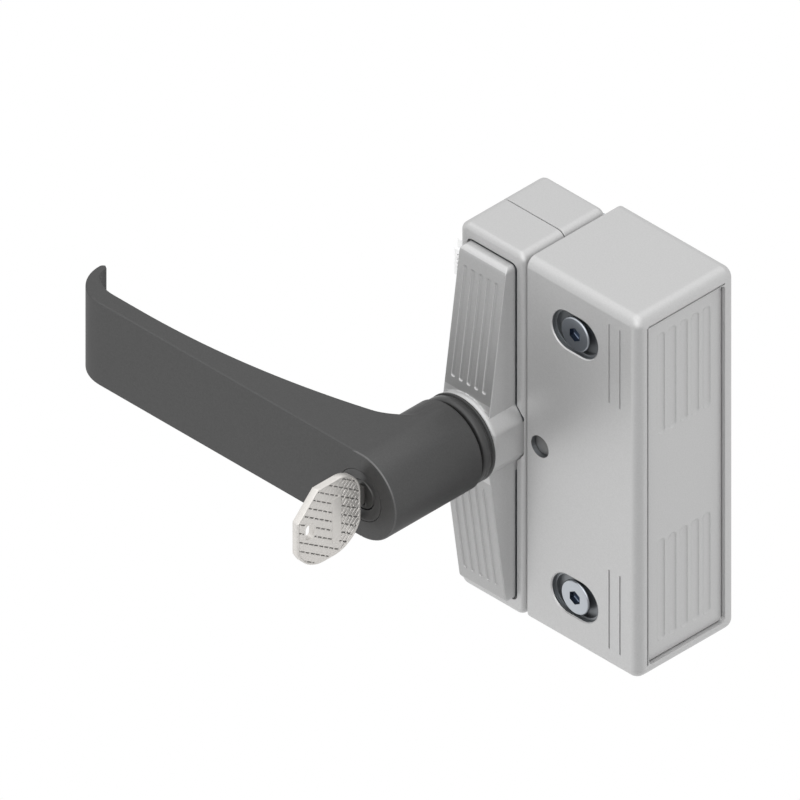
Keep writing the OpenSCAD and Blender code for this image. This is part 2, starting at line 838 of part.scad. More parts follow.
module locking_slider() {
    color("lightsteelblue") difference() {
        union() {
            rod(slider_r, slider_y, slider_y + slider_t);
            rod(lock_pin_r, slider_y, lock_pin_end_y, [0, lock_pin_at]);
        }
        rod(tail_r + 0.08, slider_y - cut, slider_y + slider_t + cut);
        block([-slider_r, slider_y - cut, -slider_r], [slider_r, slider_y + slider_t + cut, -tail_r - 2]);
    }
}

// Key

module key_bow_outline() {
    half_l = bow_len / 2;
    half_b = bow_h / 2;
    inset = 0.93 * bow_round;
    last = asin(inset / bow_round);
    polygon([
        for (a = [0:last / 6:last + 0.01])
            [half_l - inset + bow_round * sin(a), -half_b + bow_round * (1 - cos(a))],
        for (a = [0:15:90])
            [half_l - bow_shoulder * (1 - cos(a)), half_b - bow_shoulder * (1 - sin(a))],
        [-half_l + bow_chamfer, half_b],
        [-half_l, half_b - bow_chamfer],
        for (a = [last:-last / 6:-0.01])
            [-half_l + inset - bow_round * sin(a), -half_b + bow_round * (1 - cos(a))]
    ]);
}

module key() {
    mid_y = bow_back_y - bow_len / 2;
    color("gainsboro") difference() {
        union() {
            plate_x(-bow_t / 2, bow_t / 2, [mid_y, bow_z]) key_bow_outline();
            block([-blade_t / 2, bow_back_y - cut, -blade_h / 2], [blade_t / 2, blade_end_y, blade_h / 2]);
        }
        plate_x(-bow_t, bow_t, [bow_back_y - bow_len + 4.9, bow_z])
            round_rect(key_ring_w, key_ring_h, 1.2);
        block([0.5, bow_back_y + 0.8, -0.6], [blade_t, blade_end_y + cut, 0.6]);
    }
}

// Thumb slide in the case's left side

module thumb_slide() {
    button_low = snib_z - snib_h / 2;
    button_high = snib_z + snib_h / 2;
    out_x = -half_w - snib_out;
    color("silver") difference() {
        union() {
            filleted_block([out_x, snib_front_y, button_low],
                [-half_w - hair, snib_front_y + snib_d, button_high], 0.8, 0.8);
            filleted_block([out_x + 0.8, snib_front_y + 0.4, button_high - 3],
                [-half_w - hair, snib_front_y + snib_d - 0.4, button_high + snib_top_h], 0.8, 0.8);
            block([-half_w - 1, snib_neck_y, snib_z - neck_h / 2],
                [carriage_x + carriage_t, snib_neck_y + snib_neck_d, snib_z + neck_h / 2]);
            block([carriage_x, snib_neck_y - 2, snib_z - neck_h / 2],
                [carriage_x + carriage_t, snib_neck_y + snib_neck_d, snib_z + neck_h / 2]);
            block([carriage_x, tail_y, tail_bottom], [carriage_x + carriage_t, tail_y + tail_t, snib_z]);
        }
        for (z = [button_low + 1.4:grip_pitch:button_high - 1.2])
            block([out_x + grip_inset, snib_front_y - cut, z],
                [-half_w, snib_front_y + grip_deep, z + grip_pitch / 2]);
    }
}

module slide_spring() {
    x = carriage_x + carriage_t + hair;
    top = join_z - join_boss_r - hair;
    color("lightsteelblue") plate_y(snib_neck_y + 1, snib_neck_y + 6) polygon([
        [x + 2.4, top], [x + 0.4, snib_z + 5], [x, snib_z + 2], [x + 0.8, snib_z - 2],
        [x + 1.1, snib_z - 2], [x + 0.35, snib_z + 2], [x + 0.7, snib_z + 5], [x + 2.7, top]
    ]);
}

// Strike box

module fixing_tube(r_extra) {
    for (side = [-1, 1])
        plate_y(front_y, box_back_y, [box_x + slot_x, side * screw_pitch / 2])
            stadium(slot_len + 2 * r_extra, slot_h + 2 * r_extra);
}

// The box without its hollow: only the edges away from the case are filleted
module box_solid() {
    intersection() {
        filleted_block([box_x - 2 * box_corner, front_y, -half_h], [box_right, box_back_y, half_h], box_edge,
            box_corner);
        block([box_x, front_y - cut, -half_h - cut], [box_right + cut, box_back_y + cut, half_h + cut]);
    }
}

module keeper_housing() {
    color("lightgray") difference() {
        union() {
            difference() {
                box_solid();
                block([box_x + box_wall, front_y + box_front_wall, -half_h + box_end_wall],
                    [box_right - side_wall, box_back_y + cut, half_h - box_end_wall]);
            }
            intersection() {
                fixing_tube(1.8);
                block([box_x, front_y + box_front_wall - hair, -half_h], [box_right, box_back_y, half_h]);
            }
            rod(strike_boss_r, front_y + box_front_wall - hair, front_y + box_front_wall + strike_boss_len,
                [strike_x, 0]);
            rod(strike_boss_r, -11, strike_clip_y - 0.2, [strike_x, 0]);
            block([box_x + box_wall - hair, -11, -strike_boss_r],
                [strike_x, strike_clip_y - 0.2, strike_boss_r]);
        }
        rod(strike_r + 0.15, front_y - cut, box_back_y, [strike_x, 0]);
        hook_window();
        for (side = [-1, 1]) {
            at = [box_x + slot_x, side * screw_pitch / 2];
            plate_y(front_y - cut, front_y + slot_deep, at) stadium(slot_len, slot_h);
            plate_y(front_y, box_back_y + cut, at)
                stadium(slot_len - head_dia + screw_dia + 0.5, screw_dia + 0.5);
            for (x = line_x)
                groove([box_x + x, front_y, side * line_top], [box_x + x, front_y, side * line_bottom], 0.35);
        }
        plate_x(side_x, box_right + cut, [side_mid_y, 0]) round_rect(side_recess_d, side_recess_h, 1.5);
        for (side = [-1, 1])
            translate([side_x - 2.2, side_mid_y, side * side_screw_z]) rotate([0, 90, 0])
                cylinder(r = side_screw_r + fit, h = 3);
    }
}

module keeper_side_cover() {
    color("lightgray") difference() {
        plate_x(side_x, side_x + side_t, [side_mid_y, 0])
            round_rect(side_recess_d - 2 * side_gap, side_recess_h - 2 * side_gap, 1.1);
        for (side = [-1, 1], i = [-2:2])
            groove([side_x + side_t + 0.8, side_mid_y + i * side_flute_pitch,
                    side * (half_h - side_flute_start - side_flute_w / 2)],
                [side_x + side_t + 0.8, side_mid_y + i * side_flute_pitch,
                    side * (half_h - side_flute_start - side_flute_len + side_flute_w / 2)],
                side_flute_w / 2);
    }
}

module side_cover_screws() {
    color("gray") for (side = [-1, 1])
        translate([side_x - 2, side_mid_y, side * side_screw_z]) rotate([0, 90, 0])
            cylinder(r = side_screw_r, h = 2);
}

module strike_pin() {
    color("silver") difference() {
        rod(strike_r, strike_end_y, strike_back_y, [strike_x, 0]);
        difference() {
            rod(strike_r + cut, strike_clip_y, strike_clip_y + strike_clip_t, [strike_x, 0]);
            rod(strike_groove_r, strike_clip_y - cut, strike_clip_y + strike_clip_t + cut, [strike_x, 0]);
        }
    }
}

module strike_pin_clip() {
    color("dimgray") difference() {
        rod(strike_boss_r - 0.6, strike_clip_y + 0.05, strike_clip_y + strike_clip_t - 0.05, [strike_x, 0]);
        rod(strike_groove_r + 0.05, strike_clip_y - cut, strike_clip_y + strike_clip_t + cut, [strike_x, 0]);
        block([strike_x, strike_clip_y - cut, -2],
            [strike_x + strike_boss_r, strike_clip_y + strike_clip_t + cut, 2]);
        block([box_x, strike_clip_y - cut, -strike_boss_r],
            [box_x + box_wall + hair, strike_clip_y + strike_clip_t + cut, strike_boss_r]);
    }
}

module keeper_mounting_screws() {
    color("lightsteelblue") for (side = [-1, 1])
        socket_screw(screw_r, head_r, case_d + box_extra - hair + screw_out, hex_af, front_y + hair,
            box_back_y + 0.4, [box_x + slot_x, side * screw_pitch / 2]);
}

module slot_washers() {
    floor_y = front_y + cup_deep;
    seat_r = head_r - (floor_y - front_y - hair - head_land) + 0.05;
    color("dimgray") for (side = [-1, 1]) {
        at = [box_x + slot_x, side * screw_pitch / 2];
        difference() {
            plate_y(front_y + 1.4, front_y + slot_deep, at) stadium(slot_len - hair, slot_h - hair);
            plate_y(front_y, floor_y, at) stadium(slot_len - 2 * cup_wall, slot_h - 2 * cup_wall);
            cone(seat_r, screw_r + fit, floor_y, floor_y + seat_r - screw_r - fit, at);
            rod(screw_r + fit, floor_y - cut, front_y + slot_deep + cut, at);
        }
    }
}

front_case();
rear_case();
cover_plate();
case_joining_screws();
case_mounting_screws();
front_bush();
rear_bush();
hook_bolt();
disc_spring();
square_spindle();
spindle_washer();
spindle_screw();
stop_pins();
lever_handle();
collar_ring();
lever_grub_screw();
cylinder_housing();
cylinder_retaining_pin();
cylinder_plug();
plug_clip();
tumbler_wafers();
locking_slider();
key();
thumb_slide();
slide_spring();
keeper_housing();
keeper_side_cover();
side_cover_screws();
strike_pin();
strike_pin_clip();
keeper_mounting_screws();
slot_washers();
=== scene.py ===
"""Door lock with a lever handle, a key in its hub and a strike box beside it.

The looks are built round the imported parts. Sizes are in millimetres: +X points to the strike box, -Y to the
person who turns the lever, +Z up, and the origin is where the lever's axis meets the back of the lock case.
"""

import math

import bmesh
import bpy
import numpy as np
from mathutils import Matrix, Vector
from mathutils.geometry import tessellate_polygon


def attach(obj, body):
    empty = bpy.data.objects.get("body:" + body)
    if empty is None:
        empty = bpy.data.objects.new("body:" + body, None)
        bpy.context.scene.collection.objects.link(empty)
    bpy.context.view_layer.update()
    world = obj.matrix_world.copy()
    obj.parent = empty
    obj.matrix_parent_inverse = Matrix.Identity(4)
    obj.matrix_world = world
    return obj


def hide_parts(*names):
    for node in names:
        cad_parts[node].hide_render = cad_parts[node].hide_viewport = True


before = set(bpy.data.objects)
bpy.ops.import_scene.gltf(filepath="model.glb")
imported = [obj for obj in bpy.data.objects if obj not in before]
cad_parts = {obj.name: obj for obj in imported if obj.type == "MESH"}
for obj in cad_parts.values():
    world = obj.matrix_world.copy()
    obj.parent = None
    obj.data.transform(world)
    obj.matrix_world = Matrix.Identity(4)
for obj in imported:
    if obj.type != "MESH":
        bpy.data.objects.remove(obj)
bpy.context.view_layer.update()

# Camera: an isometric view, 45 degrees round and 35.26 degrees up, with parallel lines kept parallel.
# Its width and centre put the part in the frame at the photograph's size and place.
VIEW_MM = 225.99
VIEW_CENTRE = (-19.83, -49.96, 5.14)
back = Vector((1, -1, 1)).normalized()
right = Vector((1, 1, 0)).normalized()
up = back.cross(right)
camera = bpy.data.objects.new("camera", bpy.data.cameras.new("camera"))
camera.data.type = "ORTHO"
camera.data.ortho_scale = VIEW_MM / 1000
camera.data.clip_end = 10
turn = Matrix((right, up, back)).transposed().to_4x4()
camera.matrix_world = Matrix.Translation(Vector(VIEW_CENTRE) / 1000 + 1.5 * back) @ turn
bpy.context.scene.collection.objects.link(camera)
bpy.context.scene.camera = camera


# Lock case: two die-cast zinc halves that meet half way down, coated with a satin silver powder.
# The front half has a sunk frame for the cover plate and a slot in its left side for the thumb slide.
# The rear half takes the four joining screws, the two fixing screws and the spindle's washer.
CASE_W = 26.0
CASE_H = 125.0
CASE_FRONT = -33.0
CASE_SPLIT = -16.4
CASE_EDGE = 1.8
CASE_CORNER = 3.2
SEAM = 0.3


def outline(width, height, radius, steps=8):
    """Four quarter circles at the corners of a rectangle about the origin, walked anticlockwise."""
    angle = np.concatenate([np.linspace(k, k + 1, steps + 1) for k in range(4)]) * math.pi / 2
    signs = np.repeat([[1, 1], [-1, 1], [-1, -1], [1, -1]], steps + 1, axis=0)
    return signs * [width / 2 - radius, height / 2 - radius] + radius * circle(angle)


def circle(angle):
    """Points of the unit circle at the given angles."""
    return np.stack([np.cos(angle), np.sin(angle)], axis=-1)


def turn_of(count):
    """Angles of one full turn in equal steps."""
    return np.linspace(0, 2 * math.pi, count, endpoint=False)


def rounding(radius, steps=5):
    """A quarter circle as pairs (inset, drop), from the side wall to the flat face."""
    angle = np.linspace(0, math.pi / 2, steps + 1)
    return np.stack([radius * (1 - np.cos(angle)), radius * (1 - np.sin(angle))], axis=1)


def along_y(flat, y):
    """A flat outline (x, z) stood at depth y."""
    return np.stack([flat[:, 0], np.full(len(flat), y), flat[:, 1]], axis=1)


def along_x(flat, x):
    """A flat outline (y, z) stood at distance x."""
    return np.stack([np.full(len(flat), x), flat[:, 0], flat[:, 1]], axis=1)


def skin(rings):
    """Quads between closed rings that follow each other: ring k joins ring k+1 point by point."""
    rings = np.asarray(rings, float)
    count, size = rings.shape[:2]
    here = np.arange(size)
    ahead = np.roll(here, -1)
    base = np.arange(count - 1)[:, None] * size
    quads = np.stack([base + here, base + ahead, base + size + ahead, base + size + here], axis=-1)
    return rings.reshape(-1, 3), quads.reshape(-1, 4)


def lid(loop):
    """Triangles that fill a flat outline."""
    return loop, np.array(tessellate_polygon([[Vector(point) for point in loop]]))


def grid(points):
    """Quads over an open grid of points, rows by columns."""
    rows, cols = points.shape[:2]
    corner = np.arange(rows - 1)[:, None] * cols + np.arange(cols - 1)
    quads = np.stack([corner, corner + 1, corner + cols + 1, corner + cols], axis=-1)
    return points.reshape(-1, 3), quads.reshape(-1, 4)


def mesh_of(name, surfaces):
    """One object of surfaces given in millimetres, its shared edges merged and its faces turned outwards."""
    merge = 4e-6
    start = np.cumsum([0] + [len(points) for points, _ in surfaces])
    points = np.concatenate([points for points, _ in surfaces]) / 1000
    faces = [face for (_, quads), base in zip(surfaces, start) for face in (quads + base).tolist()]
    data = bpy.data.meshes.new(name)
    data.from_pydata(points.tolist(), [], faces)
    work = bmesh.new()
    work.from_mesh(data)
    bmesh.ops.remove_doubles(work, verts=work.verts, dist=merge)
    bmesh.ops.dissolve_degenerate(work, edges=work.edges, dist=merge / 4)
    bmesh.ops.recalc_face_normals(work, faces=work.faces)
    work.to_mesh(data)
    work.free()
    piece = bpy.data.objects.new(name, data)
    bpy.context.scene.collection.objects.link(piece)
    return piece


def rounded_solid(name, flat_of, stations, stand=along_y):
    """A closed solid through stations (depth, inset), where flat_of(inset) gives the outline at each."""
    rings = [stand(flat_of(inset), depth) for depth, inset in stations]
    return mesh_of(name, [skin(rings), lid(rings[0]), lid(rings[-1])])


def box_cutter(low, high):
    """A plain box between two corners, for cutting."""
    centre = [(low[0] + high[0]) / 2, (low[2] + high[2]) / 2]
    flat = outline(high[0] - low[0], high[2] - low[2], 0.001, 1) + centre
    return rounded_solid("cutter", lambda inset: flat, [(low[1], 0), (high[1], 0)])


def rod_cutter(radius, y0, y1, at=(0, 0), count=96):
    """A round bar along Y, for cutting."""
    flat = radius * circle(turn_of(count)) + at
    return rounded_solid("cutter", lambda inset: flat, [(y0, 0), (y1, 0)])


def apply_modifiers(piece):
    """The modified mesh takes the place of the piece's own."""
    view = bpy.context.evaluated_depsgraph_get()
    data = bpy.data.meshes.new_from_object(piece.evaluated_get(view))
    piece.modifiers.clear()
    piece.data = data


def combine(piece, others, operation):
    """Cuts away or adds the other solids, which are then deleted."""
    for other in others:
        step = piece.modifiers.new("combine", "BOOLEAN")
        step.operation = operation
        step.solver = "EXACT"
        step.object = other
    apply_modifiers(piece)
    for other in others:
        bpy.data.objects.remove(other)


def finish_edges(piece, bevel=0.0):
    """Breaks sharp edges by a small bevel, then shades smooth up to an angle with flat faces kept flat."""
    if bevel:
        step = piece.modifiers.new("edges", "BEVEL")
        step.width = bevel / 1000
        step.segments = 2
        step.limit_method = "ANGLE"
        step.angle_limit = math.radians(40)
        step.miter_outer = "MITER_ARC"
        apply_modifiers(piece)
    piece.data.polygons.foreach_set("use_smooth", np.ones(len(piece.data.polygons), bool))
    piece.data.set_sharp_from_angle(angle=math.radians(32))
    step = piece.modifiers.new("normals", "WEIGHTED_NORMAL")
    step.keep_sharp = True
    step.weight = 80
    apply_modifiers(piece)


def srgb(code):
    """A hex colour such as #c8c8c8 as the linear values that shaders take."""
    value = np.array([int(code[i : i + 2], 16) for i in (1, 3, 5)]) / 255
    linear = np.where(value <= 0.04045, value / 12.92, ((value + 0.055) / 1.055) ** 2.4)
    return (*linear.tolist(), 1.0)


def add(tree, kind, inputs=None, **settings):
    """Adds a node, sets its properties, and fills its inputs with values or with links from other sockets."""
    made = tree.nodes.new(kind)
    for key, value in settings.items():
        setattr(made, key, value)
    for key, value in (inputs or {}).items():
        if isinstance(value, bpy.types.NodeSocket):
            tree.links.new(value, made.inputs[key])
        else:
            made.inputs[key].default_value = value
    return made


def new_material(name, **sockets):
    """A material whose main shader has the given fixed socket values."""
    material = bpy.data.materials.new(name)
    material.use_nodes = True
    shader = material.node_tree.nodes["Principled BSDF"]
    for key, value in sockets.items():
        shader.inputs[key.replace("_", " ")].default_value = value
    return material, material.node_tree, shader


def plain_finish(name, colour, roughness, metallic):
    """A finish that is the same all over."""
    material, tree, shader = new_material(name, Metallic=metallic, Roughness=roughness)
    shader.inputs["Base Color"].default_value = srgb(colour)
    return material


def powder_coat(name, colour, dark, metallic, roughness, relief=0.08, glance=1.0):
    """Powder coat on die-cast zinc: tiny melted grains give a faint speckle and an orange-peel relief."""
    grain_mm = 0.45
    material, tree, shader = new_material(name, Metallic=metallic, Roughness=roughness)
    shader.inputs["Specular Tint"].default_value = (glance, glance, glance, 1.0)
    place = add(tree, "ShaderNodeTexCoord").outputs["Object"]
    grain = add(tree, "ShaderNodeTexNoise", {"Vector": place, "Scale": 1000 / grain_mm, "Detail": 2.0})
    fleck = {"Value": grain.outputs["Fac"], "From Min": 0.3, "From Max": 0.7, "To Min": 1.0, "To Max": 0.0}
    tint = add(tree, "ShaderNodeMapRange", fleck)
    colours = {"Factor": tint.outputs["Result"], 6: srgb(colour), 7: srgb(dark)}
    paint = add(tree, "ShaderNodeMix", colours, data_type="RGBA")
    tree.links.new(paint.outputs[2], shader.inputs["Base Color"])
    peel = {"Height": grain.outputs["Fac"], "Strength": relief, "Distance": grain_mm / 4000}
    bump = add(tree, "ShaderNodeBump", peel)
    tree.links.new(bump.outputs["Normal"], shader.inputs["Normal"])
    return material


def dress(piece, material, body, slot, *nodes):
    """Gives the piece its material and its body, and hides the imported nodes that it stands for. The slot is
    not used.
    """
    piece.data.materials.clear()
    piece.data.materials.append(material)
    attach(piece, body)
    if nodes:
        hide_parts(*nodes)


def refinish(piece, material, where):
    """Gives a second material to the faces whose centres, in mm, pass a test."""
    piece.data.materials.append(material)
    for face in piece.data.polygons:
        if where(*(np.array(face.center) * 1000)):
            face.material_index = len(piece.data.materials) - 1


# The silver coat is satin: it shows broad soft reflections and a fine speckle.
# Walls in gaps and holes get a darker zinc grey, a painted shade.
silver_coat = powder_coat("satin silver powder coat", "#c0c0c0", "#bababa", 0.6, 0.42)
painted_shade_wall = plain_finish("zinc-plated wall, painted dark for shade in gaps and holes", "#8c8f92", 0.4, 0.9)


def case_flat(inset):
    """The case's outline from the front, moved inwards."""
    return outline(CASE_W - 2 * inset, CASE_H - 2 * inset, CASE_CORNER - inset)


def case_hollow(front, back):
    """The room inside the case, between two depths."""
    return box_cutter((-10.5, front, -60), (10.5, back, 60))


def hook_window(x0, x1):
    """The opening that the hook swings through, between two distances across."""
    return box_cutter((x0, -19.9, -7), (x1, -12.9, 25))


edge = rounding(CASE_EDGE)
seam_front, seam_back = CASE_SPLIT - SEAM / 2, CASE_SPLIT + SEAM / 2
front_half = rounded_solid(
    "case_front_half",
    case_flat,
    [(seam_front, 0.25), (seam_front - 0.2, 0)] + [(CASE_FRONT + drop, inset) for inset, drop in edge],
)
RECESS_W = 20.06
RECESS_H = 116.4
RECESS_Y = -31.8
BOSS_R = 13.45
BOSS_HALF = 12.25
SPINDLE_HOLE_R = 6.3


def boss_flat(radius, half):
    """The boss's outline: a circle with its two sides cut flat."""
    flat = radius * circle(turn_of(128))
    flat[:, 0] = np.clip(flat[:, 0], -half, half)
    return flat


recess_span = [(CASE_FRONT - 1, 0), (RECESS_Y, 0)]
recess = rounded_solid("cutter", lambda inset: outline(RECESS_W, RECESS_H, 2), recess_span)
boss_recess = rounded_solid("cutter", lambda inset: boss_flat(BOSS_R + 0.4, BOSS_HALF + 0.1), recess_span)
SLIDE_FRONT, SLIDE_BACK, SLIDE_LOW, SLIDE_HIGH = -26.4, -18.0, 32.6, 47.0
slide_slot = box_cutter((-15, SLIDE_FRONT, SLIDE_LOW), (-9, SLIDE_BACK, SLIDE_HIGH))
front_cuts = [recess, boss_recess, rod_cutter(SPINDLE_HOLE_R, RECESS_Y - 1, -28), case_hollow(-29.5, -15)]
combine(front_half, front_cuts + [slide_slot, hook_window(9, 15)], "DIFFERENCE")
finish_edges(front_half, 0.12)
dress(front_half, silver_coat, "case", "die_cast", "front_case")

rear_half = rounded_solid(
    "case_rear_half",
    case_flat,
    [(-drop, inset) for inset, drop in edge[::-1]] + [(seam_back + 0.2, 0), (seam_back, 0.25)],
)
JOINING_X, JOINING_Z, JOINING_HEAD_R = 7, 56.5, 2.85
SCREW_Z, SCREW_HOLE_R = 45.5, 3.1
WASHER_HOLE_R = 8.1
joining = [(x, z) for x in (-JOINING_X, JOINING_X) for z in (-JOINING_Z, JOINING_Z)]
rear_cuts = [rod_cutter(JOINING_HEAD_R, -2.1, 1, at, 48) for at in joining]
rear_cuts += [rod_cutter(SCREW_HOLE_R, -4, 1, (0, z), 48) for z in (-SCREW_Z, SCREW_Z)]
rear_cuts += [rod_cutter(WASHER_HOLE_R, -4, 1), case_hollow(-18, -3), hook_window(9, 15)]
combine(rear_half, rear_cuts, "DIFFERENCE")
finish_edges(rear_half, 0.12)
dress(rear_half, silver_coat, "case", "die_cast", "rear_case")


# Cover plate: one die-cast piece with two fluted wings that slope up to a round boss, the lever's bearing.
# It snaps into the case's frame, hides the fixing screws, and the hub's collar keeps it there.
WING_HALF = 9.25
WING_TOP = 57.7
WING_CORNER = 1.5
WING_END_OUT = 3.7
WING_BOSS_OUT = 9.9
WING_ROUND = 2.0
WING_SIDE_ROUND = 0.3
FLUTE_W = 1.6
FLUTE_PITCH = 3.1
FLUTE_TOP = 52.3
FLUTE_LOW = 16.3
FLUTE_DEEP = 0.4
BOSS_Y = -45.3
BOSS_BLEND = 0.3
BOSS_ROUND = 2.0
SUNK_Y = CASE_FRONT - 0.05


def quarter_drop(distance, radius):
    """How far a rounded edge falls at a distance inside the edge: a quarter circle, then nothing."""
    near = np.clip(distance, 0, radius)
    return radius - np.sqrt(np.maximum(radius**2 - (radius - near) ** 2, 0))


def flute_depth(across, length, middle, low, high, width, deep):
    """A shallow round-ended channel: a circle's arc in section, measured from the channel's middle line."""
    past = np.maximum(np.maximum(low + width / 2 - length, length - high + width / 2), 0)
    reach = np.hypot(across - middle, past) / (width / 2)
    return deep * np.sqrt(np.clip(1 - reach**2, 0, None))


def arc_lines(low, high, count):
    """Grid lines from one edge to the other, closer together at both."""
    return (low + high) / 2 - (high - low) / 2 * np.cos(np.linspace(0, math.pi, count))


def border(face):
    """The points round the edge of a grid, in order."""
    return np.concatenate([face[0], face[1:, -1], face[-1, -2::-1], face[-2:0:-1, 0]])


def wing(sign):
    """The wing's face as depth over (x, z): a slope with a rounded rim, its flutes and the boss's root."""
    side = arc_lines(WING_HALF - WING_SIDE_ROUND, WING_HALF, 8)
    x = [-side, side]
    x += [i * FLUTE_PITCH + arc_lines(-FLUTE_W / 2, FLUTE_W / 2, 11) for i in range(-2, 3)]
    x = np.unique(np.round(np.concatenate(x), 4))
    z = [WING_TOP - WING_ROUND * (1 - np.cos(np.linspace(0, math.pi / 2, 8)))]
    z += [np.linspace(FLUTE_TOP - 1, FLUTE_TOP, 8), np.linspace(FLUTE_LOW + 1, FLUTE_TOP - 1, 12)]
    z += [np.linspace(7.5, FLUTE_LOW + 1, 52)]
    z = np.unique(np.round(np.concatenate(z), 4))
    far, wide = np.meshgrid(z, x, indexing="ij")
    slope = (WING_BOSS_OUT - WING_END_OUT) / (WING_TOP - BOSS_R)
    face = CASE_FRONT - WING_END_OUT - slope * (WING_TOP - far)
    face += quarter_drop(WING_TOP - far, WING_ROUND)
    face += quarter_drop(WING_HALF - np.abs(wide), WING_SIDE_ROUND)
    for i in range(-2, 3):
        face += flute_depth(wide, far, i * FLUTE_PITCH, FLUTE_LOW, FLUTE_TOP, FLUTE_W, FLUTE_DEEP)
    root = np.hypot(wide, far) - BOSS_R
    face -= quarter_drop(np.clip(root, 0, None), BOSS_BLEND) * (root < BOSS_BLEND)
    narrow = np.sqrt(WING_CORNER**2 - np.clip(far - WING_TOP + WING_CORNER, 0, WING_CORNER) ** 2)
    wide = wide * (WING_HALF - WING_CORNER + narrow) / WING_HALF
    top = np.stack([wide, face, sign * far], axis=-1)
    sunk, foot = border(top), border(top)
    sunk[:, 1] = SUNK_Y
    foot[:, 1] = RECESS_Y
    return [grid(top), skin([border(top), sunk, foot]), lid(foot)]


def turned(name, profile, count=96):
    """A turned piece. Its profile of (radius, y) points starts and ends on the axis, or joins itself."""
    profile = np.asarray(profile, float)
    ring = circle(turn_of(count))
    points = np.empty((len(profile), count, 3))
    points[..., 0] = profile[:, :1] * ring[:, 0]
    points[..., 1] = profile[:, 1:]
    points[..., 2] = profile[:, :1] * ring[:, 1]
    return mesh_of(name, [skin(points)])


boss_top = [(BOSS_Y + drop, inset) for inset, drop in rounding(BOSS_ROUND, 7)]
boss = rounded_solid(
    "boss",
    lambda inset: boss_flat(BOSS_R - inset, BOSS_HALF - inset),
    [(RECESS_Y, 0), (SUNK_Y, 0)] + boss_top,
)
BEARING_R = 7.2
LOCK_PIN_AT, LOCK_HOLE_R, LOCK_HOLE_DEEP = 9.4, 1.6, 4.6
cover = mesh_of("cover_plate_dressed", wing(1))
combine(cover, [mesh_of("lower_wing", wing(-1)), boss], "UNION")
pin_places = ((0, LOCK_PIN_AT), (-LOCK_PIN_AT, 0))
pin_holes = [rod_cutter(LOCK_HOLE_R, BOSS_Y - 1, BOSS_Y + LOCK_HOLE_DEEP, at, 32) for at in pin_places]
combine(cover, [rod_cutter(BEARING_R, -60, -20, count=64)] + pin_holes, "DIFFERENCE")
finish_edges(cover)
# Painted light and shade: the smooth faces get a lighter copy of the silver coat, the fluted faces a darker
# one.
painted_light_plate_coat = powder_coat("satin silver powder coat, smooth plate", "#c5c5c5", "#bfbfbf", 0.55, 0.42)
painted_shade_fluted_coat = powder_coat("satin silver powder coat, fluted plate", "#acacac", "#a6a6a6", 0.6, 0.42)
dress(cover, painted_light_plate_coat, "case", "die_cast_cover", "cover_plate")
cover.data.materials.append(painted_shade_fluted_coat)
for face in cover.data.polygons:
    face.material_index = int(face.normal.y < -0.8 and abs(face.center.z) > BOSS_R / 1000)
# Painted shade: the plate's sunk rim, down in the gap, gets the darker wall grey.
refinish(cover, painted_shade_wall, lambda x, y, z: y > CASE_FRONT and not -13 < z < 5)


# Lever handle: die-cast zinc arm and hub in one, in a matt dark grey fine-texture powder coat.
# The arm thins out from the hub in a shallow curve and turns back to the door at its end.
HUB_R = 14.25
HUB_FRONT = -85.7
HUB_BACK = -50.9
LEVER_REACH = 117.4
LEVER_THIN = 6.1
LEVER_ROOT = 22.0
LEVER_TAPER = 94.0
BEND_R = 13.0
TIP_T = 2.5
TIP_Y = -72.65
ARM_RIM = 0.55
HUB_BLEND = 5.0
BORE_R = 8.35


def arm_lines():
    """Front line and back line of the arm in (x, y): straight, then a quarter turn, then a round tip."""
    straight = np.concatenate([np.linspace(0, 24, 40), np.linspace(24, LEVER_REACH - BEND_R, 40)[1:]])
    thick = (LEVER_ROOT - LEVER_THIN) * (np.clip(LEVER_TAPER - straight, 0, None) / LEVER_TAPER) ** 2
    front = np.stack([-straight, np.full(len(straight), HUB_FRONT - 0.02)], axis=1)
    rear = np.stack([-straight, HUB_FRONT + LEVER_THIN + thick], axis=1)
    angle = np.linspace(0, math.pi / 2, 19)[1:]
    swing = np.stack([np.sin(angle), np.cos(angle)], axis=1)
    bend = np.array([BEND_R - LEVER_REACH, TIP_Y])
    outer = bend - swing * [BEND_R, TIP_Y - HUB_FRONT]
    inner = bend - swing * [BEND_R - TIP_T, TIP_Y - HUB_FRONT - LEVER_THIN]
    angle = np.linspace(0, math.pi / 2, 7)[1:]
    tip = np.array([TIP_T / 2 - LEVER_REACH, TIP_Y])
    curl = np.stack([np.cos(angle), np.sin(angle)], axis=1) * TIP_T / 2
    return (
        np.concatenate([front, outer, tip + curl * [-1, 1]]),
        np.concatenate([rear, inner, tip + curl]),
    )


def arm():
    """The section, a rectangle with rounded corners, carried along the two lines."""
    front, rear = arm_lines()
    rim = rounding(1.0, 5)
    thick = np.linalg.norm(rear - front, axis=1)[:, None]
    drop = np.minimum(ARM_RIM, thick / 2 * 0.98) * rim[:, 1]
    side = HUB_R - ARM_RIM * rim[:, 0]
    back_z = np.linspace(HUB_R - ARM_RIM, ARM_RIM - HUB_R, 41)[1:-1]
    across_back = np.repeat(thick, len(back_z), axis=1)
    depth = np.concatenate([drop[:, ::-1], thick - drop, across_back, (thick - drop)[:, ::-1], drop], axis=1)
    z = np.concatenate([side[::-1], side, back_z, -side[::-1], -side])
    share = (depth / np.maximum(thick, 1e-6))[..., None]
    line = front[:, None, :] * (1 - share) + rear[:, None, :] * share
    points = np.concatenate([line, np.broadcast_to(z, depth.shape)[..., None]], axis=2)
    gap = np.hypot(points[..., 0], points[..., 2]) - HUB_R
    on_back = share[..., 0] > 0.5
    lift = quarter_drop(np.clip(gap, 0, None), HUB_BLEND) * (gap < HUB_BLEND)
    points[..., 1] += np.where(gap < 0, HUB_BLEND, lift) * on_back
    return [skin(points), lid(points[0]), lid(points[-1])]


